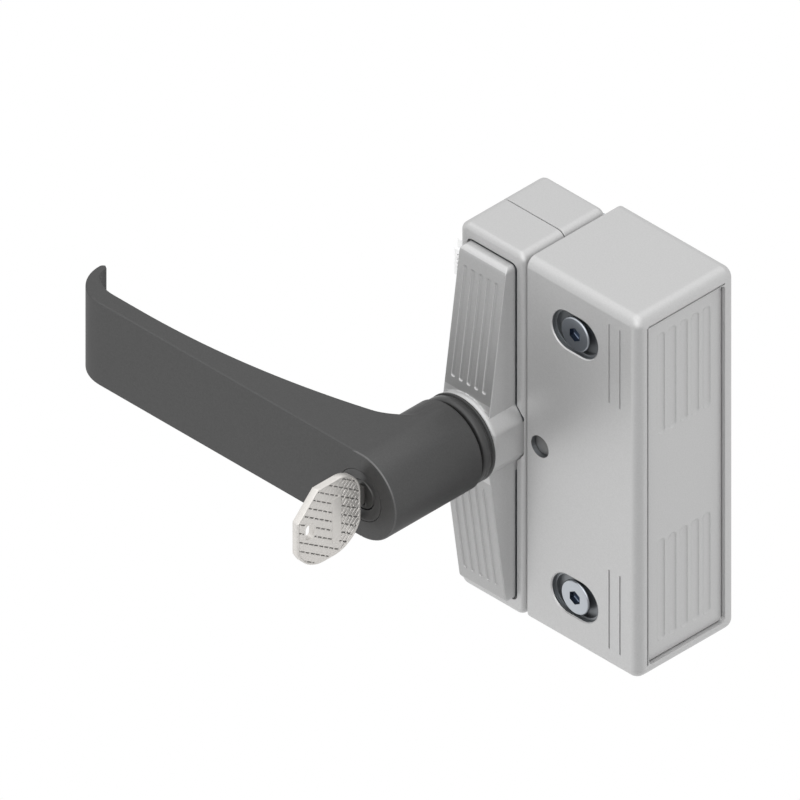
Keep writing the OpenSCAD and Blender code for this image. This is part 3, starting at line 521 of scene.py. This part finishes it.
hub_edge = [(HUB_R - inset, HUB_FRONT + drop) for inset, drop in rounding(ARM_RIM)]
hub_profile = [(0, HUB_BACK), (HUB_R - 0.3, HUB_BACK), (HUB_R, HUB_BACK - 0.3)] + hub_edge + [(0, HUB_FRONT)]
lever = turned("lever_dressed", hub_profile, 128)
combine(lever, [mesh_of("arm", arm())], "UNION")
combine(lever, [rod_cutter(BORE_R, -90, -62)], "DIFFERENCE")
finish_edges(lever)
# The grey coat is matt, and dull even at a glancing view.
# A lighter grey on the hub's front edge is a painted highlight.
lever_coat = powder_coat("matt dark grey powder coat", "#565656", "#515151", 0.7, 0.4, glance=0.5)
painted_highlight_coat = powder_coat(
    "matt dark grey powder coat, thin at the edge", "#6c6c6c", "#666666", 0.7, 0.36, relief=0.05, glance=0.6
)
dress(lever, lever_coat, "handle", "lever_coat", "lever_handle")


def on_hub_edge(x, y, z):
    """Whether a point lies on the bevel round the hub's front."""
    return HUB_R - 0.45 < math.hypot(x, z) < HUB_R + 0.02 and 0.03 < y - HUB_FRONT < 0.36


# Painted highlight: the bevel round the hub's front takes the lighter grey.
refinish(lever, painted_highlight_coat, on_hub_edge)


# Collar ring: black moulded acetal between the hub and the cover plate's boss, so that metal never rubs.
# It shows as a groove beside the hub, a broad round bead and a thin rim that meets the boss.
RING_IN, RING_GROOVE_R, RING_R = 11.6, 11.8, 13.8
BEAD_R, BEAD_OUT, BEAD_HALF = 12.4, 1.35, 1.65
lean = np.linspace(0.02, 2.6, 24)
bead_y = HUB_BACK + 3.05 - BEAD_HALF * np.cos(lean)
ring_profile = [(RING_IN, HUB_BACK + 0.02), (RING_GROOVE_R, HUB_BACK + 0.02), (RING_GROOVE_R, HUB_BACK + 1.5)]
ring_profile += list(zip(BEAD_R + BEAD_OUT * np.sin(lean) ** 0.75, bead_y))
ring_profile += [(13.2, HUB_BACK + 4.75), (RING_R - 0.1, HUB_BACK + 4.95), (RING_R, HUB_BACK + 5.1)]
ring_profile += [(RING_R, BOSS_Y - 0.1), (RING_IN, BOSS_Y - 0.1), (RING_IN, HUB_BACK + 0.02)]
ring = turned("collar_ring_dressed", ring_profile, 128)
finish_edges(ring)
# Moulded acetal is smooth and waxy, so the bead carries a soft streak of light.
acetal = plain_finish("black acetal", "#383838", 0.32, 0.0)
dress(ring, acetal, "handle", "collar_plastic", "collar_ring")


# Cylinder: a die-cast housing with a dished face, let into the hub, and a nickel-plated brass plug in it.
# The plug turns with the key; a dark gap shows round each of them.
HOUSING_R = 8.2
PLUG_R = 4.7
DISH_OUT = 8.15
DISH_IN = 4.95
DISH_DEEP = 0.6
FACE_Y, INNER_Y = -85.66, -70
PLUG_FRONT, PLUG_END = -85.1, -68
KEYWAY_HALF_W, KEYWAY_HALF_H = 1.25, 3.15
dish = np.linspace(0, 1, 12)
dish_r = DISH_IN + (DISH_OUT - DISH_IN) * dish
dish_y = FACE_Y + DISH_DEEP * (0.5 + 0.5 * np.cos(math.pi * dish))
housing_profile = [(DISH_IN, INNER_Y)] + list(zip(dish_r, dish_y))
housing_profile += [(HOUSING_R, FACE_Y), (HOUSING_R, INNER_Y), (DISH_IN, INNER_Y)]
housing = turned("cylinder_housing_dressed", housing_profile, 96)
finish_edges(housing)
# The housing has the lever's matt grey. The plug's nickel has gone dull, and shows as a darker, harder grey.
cylinder_coat = powder_coat("dark grey coated cylinder", "#5c5c5c", "#575757", 0.7, 0.4, glance=0.5)
dress(housing, cylinder_coat, "handle", "cylinder_zinc", "cylinder_housing")
plug_profile = [(0, PLUG_FRONT), (PLUG_R - 0.3, PLUG_FRONT), (PLUG_R, PLUG_FRONT + 0.3)]
plug_profile += [(PLUG_R, PLUG_END), (0, PLUG_END)]
plug = turned("cylinder_plug_dressed", plug_profile, 96)
keyway = box_cutter((-KEYWAY_HALF_W, -90, -KEYWAY_HALF_H), (KEYWAY_HALF_W, PLUG_END - 1, KEYWAY_HALF_H))
combine(plug, [keyway], "DIFFERENCE")
finish_edges(plug, 0.08)
plug_metal = plain_finish("dark nickel-plated brass", "#50504f", 0.4, 0.8)
dress(plug, plug_metal, "plug", "plug_brass", "cylinder_plug")


# Key: stamped nickel silver, its bow chamfered at the upper outer corner and rounded at the other three.
# It has a thin rim, a knurl of broken rows and slanted strokes, and a bare raised band.
# The blade stands fully in the plug.
BOW_LEFT, BOW_RIGHT = -111.7, -86.6
BOW_LOW, BOW_HIGH = -14.6, 11.2
BOW_CHAMFER = 8.0
BOW_ROUND = 11.4
BOW_SHOULDER = 9.0
BOW_T = 2.4
KEY_RIM = 0.45
KEY_SUNK = 0.16
HOLE_Y, HOLE_Z = -106.8, -1.7
BAND_Y, BAND_Z, BAND_HALF_Y, BAND_HALF_Z = -96.1, -2.7, 1.7, 7.7
STROKES_FROM = -94.4
GROOVE_W = 0.4
ROW_LEAN, ROW_PITCH, ROW_DASH = math.radians(-33), 2.58, 2.4
STROKE_LEAN, STROKE_PITCH = math.radians(42), 1.5
ROW_DEEP, STROKE_DEEP, FAINT_DEEP = 0.32, 0.34, 0.08
BLADE_LOW, BLADE_HIGH = (-1.0, -88, -3), (0.75, -71.5, 3)


def bow_sides():
    """The bow's outline as straight sides, each with its outward direction and distance from the middle."""
    middle = np.array([(BOW_LEFT + BOW_RIGHT) / 2, (BOW_LOW + BOW_HIGH) / 2])
    half = np.array([(BOW_RIGHT - BOW_LEFT) / 2, (BOW_HIGH - BOW_LOW) / 2])
    facing = [(1, 0), (-1, 0), (0, 1), (0, -1), (-1, 1)]
    facing = [np.array(f) / math.hypot(*f) for f in facing]
    reach = [half[0], half[0], half[1], half[1], (half.sum() - BOW_CHAMFER) / math.sqrt(2)]
    for lean in np.radians(np.arange(5, 90, 5)):
        away = np.array([math.sin(lean), math.cos(lean)])
        facing.append(away)
        reach.append((half - BOW_SHOULDER) @ away + BOW_SHOULDER)
    inset = 0.93 * BOW_ROUND
    for lean in np.radians(np.arange(4, 68, 4)):
        for side in (-1, 1):
            away = np.array([side * math.sin(lean), -math.cos(lean)])
            centre = np.array([side * (half[0] - inset), -half[1] + BOW_ROUND])
            facing.append(away)
            reach.append(centre @ away + BOW_ROUND)
    return middle, np.array(facing), np.array(reach)


def knurl(y, z, lean, pitch, deep, dash):
    """Parallel grooves at a slope, a whole pitch apart and each broken into dashes."""
    across = -math.sin(lean) * y + math.cos(lean) * z
    along = math.cos(lean) * y + math.sin(lean) * z
    off = np.abs((across / pitch + 0.5) % 1 - 0.5) * pitch
    off = off + GROOVE_W * (along / dash % 1 < 0.17)
    return deep * np.clip(1 - off / GROOVE_W * 2, 0, 1) ** 0.7


def within(value, middle, half):
    """1 inside a stretch about its middle, falling to 0 over the next 0.15 mm."""
    return np.clip(1 - (np.abs(value - middle) - half) / 0.15, 0, 1)


def bow_face(side):
    """Half the bow's thickness over (y, z): rounded edge, rim, sunk knurled field and raised band."""
    middle, facing, reach = bow_sides()
    y = np.linspace(BOW_LEFT, BOW_RIGHT, 184) - middle[0]
    high = np.full(len(y), 99.0)
    low = np.full(len(y), -99.0)
    for away, limit in zip(facing, reach):
        if abs(away[1]) > 1e-6:
            bound = (limit - away[0] * y) / away[1]
            high = np.minimum(high, bound) if away[1] > 0 else high
            low = np.maximum(low, bound) if away[1] < 0 else low
    z = low + np.linspace(0, 1, 184)[:, None] * (high - low)
    y = np.broadcast_to(y, z.shape)
    inside = np.min([limit - away[0] * y - away[1] * z for away, limit in zip(facing, reach)], axis=0)
    field = np.clip((inside - KEY_RIM) / 0.3, 0, 1)
    real_y, real_z = y + middle[0], z + middle[1]
    band = within(real_y, BAND_Y, BAND_HALF_Y) * within(real_z, BAND_Z, BAND_HALF_Z)
    hole_y = np.clip(np.abs(real_y - HOLE_Y) - 0.7, 0, None)
    hole_z = np.clip(np.abs(real_z - HOLE_Z) - 1.6, 0, None)
    plain = np.maximum(band, np.clip(2.0 - np.hypot(hole_y, hole_z), 0, 1))
    strokes = np.clip((real_y - STROKES_FROM) / 0.2, 0, 1)
    cuts = knurl(y, z, ROW_LEAN, ROW_PITCH, ROW_DEEP, ROW_DASH)
    cuts = np.maximum(cuts, knurl(y, z, STROKE_LEAN, STROKE_PITCH, STROKE_DEEP, ROW_PITCH) * strokes)
    cuts = np.maximum(cuts, knurl(y, z, STROKE_LEAN, STROKE_PITCH, FAINT_DEEP, ROW_PITCH) * (1 - strokes))
    sunk = field * (KEY_SUNK * (1 - 0.8 * band) + cuts * (1 - plain))
    thick = BOW_T / 2 - quarter_drop(inside, 0.25) - sunk
    return np.stack([side * thick, real_y, real_z], axis=-1)


def bar(low, high):
    """Surfaces of a plain bar between two corners."""
    flat = outline(high[0] - low[0], high[2] - low[2], 0.05, 2)
    flat = flat + [(low[0] + high[0]) / 2, (low[2] + high[2]) / 2]
    ends = [along_y(flat, low[1]), along_y(flat, high[1])]
    return [skin(ends), lid(ends[0]), lid(ends[1])]


near_face, far_face = bow_face(1), bow_face(-1)
key = mesh_of("key_dressed", [grid(near_face), grid(far_face), skin([border(near_face), border(far_face)])])
ring_flat = outline(3.4, 5.0, 1.2) + [HOLE_Y, HOLE_Z]
combine(key, [rounded_solid("cutter", lambda inset: ring_flat, [(-4, 0), (4, 0)], along_x)], "DIFFERENCE")
combine(key, [mesh_of("blade", bar(BLADE_LOW, BLADE_HIGH))], "UNION")
finish_edges(key)
# Nickel silver is a warm pale grey, worn to a satin. Its grooves and its blade in the plug are painted
# darker, for shade.
key_metal, tree, shader = new_material("stamped nickel silver", Metallic=0.6, Roughness=0.4)
place = add(tree, "ShaderNodeTexCoord").outputs["Object"]
grain = add(tree, "ShaderNodeTexNoise", {"Vector": place, "Scale": 1400.0, "Detail": 2.0})
tones = {"Factor": grain.outputs["Fac"], 6: srgb("#dad7d3"), 7: srgb("#cdcac6")}
tint = add(tree, "ShaderNodeMix", tones, data_type="RGBA")
tree.links.new(tint.outputs[2], shader.inputs["Base Color"])
dress(key, key_metal, "key", "nickel_silver", "key")
painted_shade_key = plain_finish("darkened nickel silver", "#7c7a78", 0.5, 0.6)
# Painted shade: the blade and the bottoms of the grooves take the darker grey.
refinish(key, painted_shade_key, lambda x, y, z: y > BOW_RIGHT + 0.05 or 0.6 < abs(x) < 0.92)


# Strike box: die-cast zinc in the same silver coat, open at the back, fixed to the frame by two screws.
# Its front has two slots for the screws, a hole for the strike pin and two pairs of fine lines.
BOX_LEFT = 14.1
BOX_RIGHT = 58.4
BOX_BACK = 6.0
BOX_EDGE = 3.1
BOX_CORNER = 3.8
BOX_D = BOX_BACK - CASE_FRONT
SLOT_AT = 32.9
SLOT_L = 18.4
SLOT_H = 12.9
SLOT_DEEP = 4.4
PIN_AT = 19.1
PIN_HOLE_R = 3.5
SIDE_RECESS = 2.8
SIDE_W, SIDE_H = BOX_D - 8.6, CASE_H - 8.6
SIDE_MID = (CASE_FRONT + BOX_BACK) / 2
HOLLOW_LOW, HOLLOW_HIGH = (15.5, -29.5, -59.5), (53.8, 8, 59.5)
LINE_W, LINE_L, LINE_X, LINE_Z = 0.6, 27.4, (32.7, 37.0), (-56.2, 28.8)
SIDE_LINE_DEEP = 0.45


def box_flat(inset):
    """The strike box's outline from the front, moved inwards, and run on to the left where it is cut off."""
    low = BOX_LEFT - 10
    flat = outline(BOX_RIGHT - low - 2 * inset, CASE_H - 2 * inset, BOX_CORNER - inset)
    return flat + [(low + BOX_RIGHT) / 2, 0]


box_edge = rounding(BOX_EDGE, 7)
keeper = rounded_solid(
    "strike_box",
    box_flat,
    [(CASE_FRONT + drop, inset) for inset, drop in box_edge[::-1]]
    + [(BOX_BACK - drop, inset) for inset, drop in box_edge],
)
combine(keeper, [box_cutter((-10, -40, -70), (BOX_LEFT, 10, 70))], "DIFFERENCE")


def slot_cutter(z, stations):
    """A slot with round ends, long across the box, through (y, how much narrower) stations."""

    def flat_of(inset):
        return outline(SLOT_L - 2 * inset, SLOT_H - 2 * inset, SLOT_H / 2 - inset - 0.001, 14) + [SLOT_AT, z]

    return rounded_solid("cutter", flat_of, stations)


def line_cutter(x, low):
    """A thin round-ended line sunk into the front."""
    flat = outline(LINE_W, LINE_L, LINE_W / 2 - 0.001, 5) + [x, low + LINE_L / 2]
    return rounded_solid("cutter", lambda inset: flat, [(CASE_FRONT - 1, 0), (CASE_FRONT + 0.35, 0)])


def side_cutter(flat, deep):
    """A flat outline (y, z) sunk into the right side."""
    return rounded_solid("cutter", lambda inset: flat, [(BOX_RIGHT - deep, 0), (BOX_RIGHT + 1, 0)], along_x)


slot_middles = (-SCREW_Z, SCREW_Z)
box_hollow = box_cutter(HOLLOW_LOW, HOLLOW_HIGH)
for z in slot_middles:
    combine(box_hollow, [slot_cutter(z, [(-31, -1.8), (9, -1.8)])], "DIFFERENCE")
combine(box_hollow, [rod_cutter(5.0, -31, -24, (PIN_AT, 0))], "DIFFERENCE")
cuts = [
    side_cutter(outline(LINE_W, 116.6, 0.05, 2) + [-29.2, 0.2], SIDE_LINE_DEEP),
    side_cutter(outline(30.6, LINE_W, 0.05, 2) + [-13.6, 58.65], SIDE_LINE_DEEP),
    box_hollow,
    side_cutter(outline(SIDE_W, SIDE_H, 1.5) + [SIDE_MID, 0], SIDE_RECESS),
    rod_cutter(PIN_HOLE_R, -34, 3.4, (PIN_AT, 0), 64),
]
slot_mouth = [(-34, -0.35), (CASE_FRONT, -0.35), (CASE_FRONT + 0.35, 0), (CASE_FRONT + SLOT_DEEP, 0)]
cuts += [slot_cutter(z, slot_mouth) for z in slot_middles]
cuts += [rod_cutter(3.4, -34, 8, (SLOT_AT, z), 48) for z in slot_middles]
cuts += [hook_window(11, 16)]
cuts += [line_cutter(BOX_LEFT + x, z) for x in LINE_X for z in LINE_Z]
combine(keeper, cuts, "DIFFERENCE")
finish_edges(keeper, 0.2)
dress(keeper, silver_coat, "case", "die_cast", "keeper_housing")


def in_pin_hole(x, y, z):
    """Whether a point lies on the wall of the strike pin's hole."""
    return CASE_FRONT + 0.3 < y < 9 and math.hypot(x - PIN_AT, z) < PIN_HOLE_R + 0.1


def in_slot(x, y, z):
    """Whether a point lies on the wall or the floor of a screw's slot."""
    past = max(abs(x - SLOT_AT) - (SLOT_L - SLOT_H) / 2, 0)
    return CASE_FRONT + 0.4 < y < 9 and math.hypot(past, abs(z) - SCREW_Z) < SLOT_H / 2 + 0.1


# Painted shade: the walls of the pin's hole and of the slots get the darker wall grey.
refinish(keeper, painted_shade_wall, in_pin_hole)
refinish(keeper, painted_shade_wall, in_slot)


# Side cover of the strike box: a fluted die-cast plate in the same silver coat.
# It is pressed on two pins into a recess in the box's side, with a fine gap all round.
SIDE_T = 1.5
SIDE_X = BOX_RIGHT - SIDE_RECESS
SIDE_GAP = 0.25
SIDE_FLUTE_W = 3.1
SIDE_FLUTE_L = 35
SIDE_FLUTE_END = 4.8
SIDE_FLUTE_PITCH = 4.55
SIDE_FLUTE_DEEP = 0.42
SIDE_ROUND = 0.15


def side_face():
    """The cover's face as height over (y, z): flat, less its rounded rim and ten shallow flutes."""
    half_y, half_z = SIDE_W / 2 - SIDE_GAP, SIDE_H / 2 - SIDE_GAP
    rim = np.linspace(0, SIDE_ROUND, 4)
    y = [rim - half_y, half_y - rim]
    y += [i * SIDE_FLUTE_PITCH + arc_lines(-SIDE_FLUTE_W / 2, SIDE_FLUTE_W / 2, 15) for i in range(-2, 3)]
    y = np.unique(np.round(np.concatenate(y), 4))
    high = half_z - SIDE_FLUTE_END
    low = high - SIDE_FLUTE_L
    z = [half_z - rim, np.linspace(low, low + 2, 9), np.linspace(high - 2, high, 9)]
    z = np.concatenate(z + [np.linspace(low + 2, high - 2, 8)])
    z = np.unique(np.round(np.concatenate([z, -z]), 4))
    far, wide = np.meshgrid(z, y, indexing="ij")
    face = SIDE_X + SIDE_T - quarter_drop(half_z - np.abs(far), SIDE_ROUND)
    face = face - quarter_drop(half_y - np.abs(wide), SIDE_ROUND)
    for i in range(-2, 3):
        middle = i * SIDE_FLUTE_PITCH
        face -= flute_depth(wide, np.abs(far), middle, low, high, SIDE_FLUTE_W, SIDE_FLUTE_DEEP)
    top = np.stack([face, wide + SIDE_MID, far], axis=-1)
    foot = border(top)
    foot[:, 0] = SIDE_X
    return [grid(top), skin([border(top), foot]), lid(foot)]


side_cover = mesh_of("side_cover_dressed", side_face())
finish_edges(side_cover)
dress(side_cover, silver_coat, "case", "die_cast_cover", "keeper_side_cover")


# Fixing screws of the strike box: M6 countersunk steel with a 4 mm hexagon socket, blue zinc-plated.
# They clamp the box through the cups in its slots. The upper one is painted a darker zinc than the lower one,
# for shade.
HEAD_Y = -32.9
HEAD_R = 5.5
SHANK_R = 3.0
SCREW_END = 18.0
SOCKET_W, SOCKET_DEEP = 4.0, 1.6


def hexagon(across, angle):
    """Distance from the middle to a hexagon's side at each angle, its corners pointing up and down."""
    return across / 2 / np.cos((angle % (math.pi / 3)) - math.pi / 6)


def screw(name, z):
    """A turned head and shank: the rings are six-sided in the socket and round outside it."""
    angle = turn_of(72) + math.pi / 6
    unit = circle(angle)
    hexa = hexagon(SOCKET_W, angle - math.pi / 2)[:, None] * unit
    floor_y = HEAD_Y + SOCKET_DEEP
    rings = [(0.001 * unit, floor_y + 0.4), (0.9 * hexa, floor_y + 0.2), (hexa, floor_y), (hexa, HEAD_Y)]
    rings += [((HEAD_R - 0.4) * unit, HEAD_Y), ((HEAD_R - 0.2) * unit, HEAD_Y + 0.12)]
    rings += [(HEAD_R * unit, HEAD_Y + 0.45), (HEAD_R * unit, HEAD_Y + 0.6), (SHANK_R * unit, HEAD_Y + 3.1)]
    rings += [(SHANK_R * unit, SCREW_END - 0.5), (2.5 * unit, SCREW_END), (0.001 * unit, SCREW_END)]
    stack = [along_y(flat + [SLOT_AT, z], y) for flat, y in rings]
    return mesh_of(name, [skin(stack)])


def from_screw(x, z):
    """How far a point stands from the axis of the nearer screw."""
    return math.hypot(x - SLOT_AT, abs(z) - SCREW_Z)


# Zinc plating is a cool, fairly sharp metal. The socket is painted a darker blue-grey, for shade.
# The head's turned edge gets a painted highlight.
bright_zinc = plain_finish("bright zinc-plated steel", "#b9bec4", 0.3, 1.0)
painted_shade_zinc = plain_finish("blue zinc-plated steel, painted darker for shade", "#a0a6ae", 0.3, 1.0)
painted_shade_socket = plain_finish("zinc-plated screw socket, painted dark for shade", "#5f6978", 0.35, 1.0)
painted_highlight_edge = plain_finish("zinc-plated screw, painted highlight on the turned edge", "#b4b9bf", 0.3, 1.0)
for name, height, zinc in (
    ("strike_box_screw_upper", SCREW_Z, painted_shade_zinc),
    ("strike_box_screw_lower", -SCREW_Z, bright_zinc),
):
    piece = screw(name, height)
    finish_edges(piece)
    dress(piece, zinc, "case", "zinc_screw", "keeper_mounting_screws")
    refinish(piece, painted_shade_socket, lambda x, y, z: CASE_FRONT + 0.2 < y < 9 and from_screw(x, z) < 2.33)
    refinish(piece, painted_highlight_edge, lambda x, y, z: y < CASE_FRONT + 0.5 and from_screw(x, z) > 5.12)


# Parts shown as packed, each in its own finish: the inner works, the hidden fixings, the strike pin,
# the cups behind the slots, and the thumb slide. That is a white moulded button on the case's left side,
# and it slides down to hold the hook.
FINISHES = {
    plain_finish("zinc-plated hardened steel", "#9fa3a6", 0.34, 1.0): (
        "hook_bolt",
        "square_spindle",
        "locking_slider",
    ),
    plain_finish("bright spring steel", "#b4b6b8", 0.28, 1.0): (
        "disc_spring",
        "stop_pins",
        "cylinder_retaining_pin",
        "plug_clip",
        "slide_spring",
    ),
    plain_finish("black oxide steel", "#3a3a3a", 0.42, 1.0): (
        "lever_grub_screw",
        "side_cover_screws",
        "strike_pin_clip",
    ),
    bright_zinc: ("case_joining_screws", "case_mounting_screws", "spindle_washer", "spindle_screw"),
    plain_finish("oil-filled sintered bronze", "#a77c4a", 0.45, 1.0): ("front_bush", "rear_bush"),
    plain_finish("stamped brass wafer", "#cda968", 0.35, 1.0): ("tumbler_wafers",),
    # Painted shade: the cups get a dark zinc grey to match the shaded slot walls.
    plain_finish("zinc-plated cup, painted dark for shade in the slot", "#85888b", 0.4, 0.9): ("slot_washers",),
    plain_finish("ground steel", "#8c8c8c", 0.4, 0.9): ("strike_pin",),
    plain_finish("white moulded acetal", "#f2f2f2", 0.45, 0.0): ("thumb_slide",),
}
for finish, names in FINISHES.items():
    for name in names:
        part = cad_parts[name]
        part.data.materials.clear()
        part.data.materials.append(finish)


# Floor and light: a plain pale floor well below the part, and plain soft studio light from all round.
# The floor is white for the camera, and lets mirrored rays pass to the studio's lower half.
floor = mesh_of("floor", [lid(along_y(outline(6000, 6000, 1), 0)[:, [0, 2, 1]] + [0, 0, -260])])
floor_paint, tree, shader = new_material("pale studio floor", Roughness=0.9)
shader.inputs["Base Color"].default_value = srgb("#f4f4f4")
light_path = add(tree, "ShaderNodeLightPath")
glow = add(tree, "ShaderNodeEmission", {"Color": (1, 1, 1, 1), "Strength": 1.0})
clear = add(tree, "ShaderNodeBsdfTransparent")
seen = {0: light_path.outputs["Is Camera Ray"], 1: shader.outputs[0], 2: glow.outputs[0]}
shown = add(tree, "ShaderNodeMixShader", seen)
passed = {0: light_path.outputs["Is Glossy Ray"], 1: shown.outputs[0], 2: clear.outputs[0]}
mirrored = add(tree, "ShaderNodeMixShader", passed)
tree.links.new(mirrored.outputs[0], tree.nodes["Material Output"].inputs["Surface"])
floor.data.materials.append(floor_paint)

world = bpy.data.worlds.new("studio")
bpy.context.scene.world = world
world.use_nodes = True
studio = world.node_tree
view_ray = add(studio, "ShaderNodeTexCoord").outputs["Generated"]
level = None
STUDIO_LEVEL = 0.87
# Soft patches of the studio: the way to each, how much lighter or darker it is, and how many degrees
# lie between its middle and its edge.
SOFT_SPOTS = [
    ((0, 0, 1), 0.85, 56),
    ((-1, -1, -1), 0.16, 60),
    ((1, -1, -1), -0.48, 70),
    ((0.5, -0.75, 0.45), 1.2, 40),
    ((-1, -1, 1), 0.3, 30),
]
for toward, amount, spread in SOFT_SPOTS:
    facing = Vector(toward).normalized()
    dot = add(studio, "ShaderNodeVectorMath", {0: view_ray, 1: facing}, operation="DOT_PRODUCT")
    limits = {"Value": dot.outputs["Value"], "From Min": math.cos(math.radians(spread)), "To Max": amount}
    lobe = add(studio, "ShaderNodeMapRange", limits, interpolation_type="SMOOTHSTEP")
    first = STUDIO_LEVEL if level is None else level.outputs[0]
    level = add(studio, "ShaderNodeMath", {0: first, 1: lobe.outputs["Result"]}, operation="ADD")
camera_ray = add(studio, "ShaderNodeLightPath").outputs["Is Camera Ray"]
light = {"Factor": camera_ray, 2: level.outputs[0], 3: 1.0}
shown = add(studio, "ShaderNodeMix", light, data_type="FLOAT")
sky = studio.nodes["Background"]
sky.inputs["Color"].default_value = (1, 1, 1, 1)
studio.links.new(shown.outputs[0], sky.inputs["Strength"])


# One weak square lamp overhead gives the shadows a direction.
lamp = bpy.data.objects.new("key light", bpy.data.lights.new("key light", "AREA"))
lamp.data.size = 0.8
lamp.data.energy = 0.1
lamp.location = (0.3, -0.5, 1.1)
lamp.rotation_euler = (Vector((0, -0.03, 0)) - lamp.location).to_track_quat("-Z", "Y").to_euler()
bpy.context.scene.collection.objects.link(lamp)

bpy.context.scene.view_settings.view_transform = "Standard"
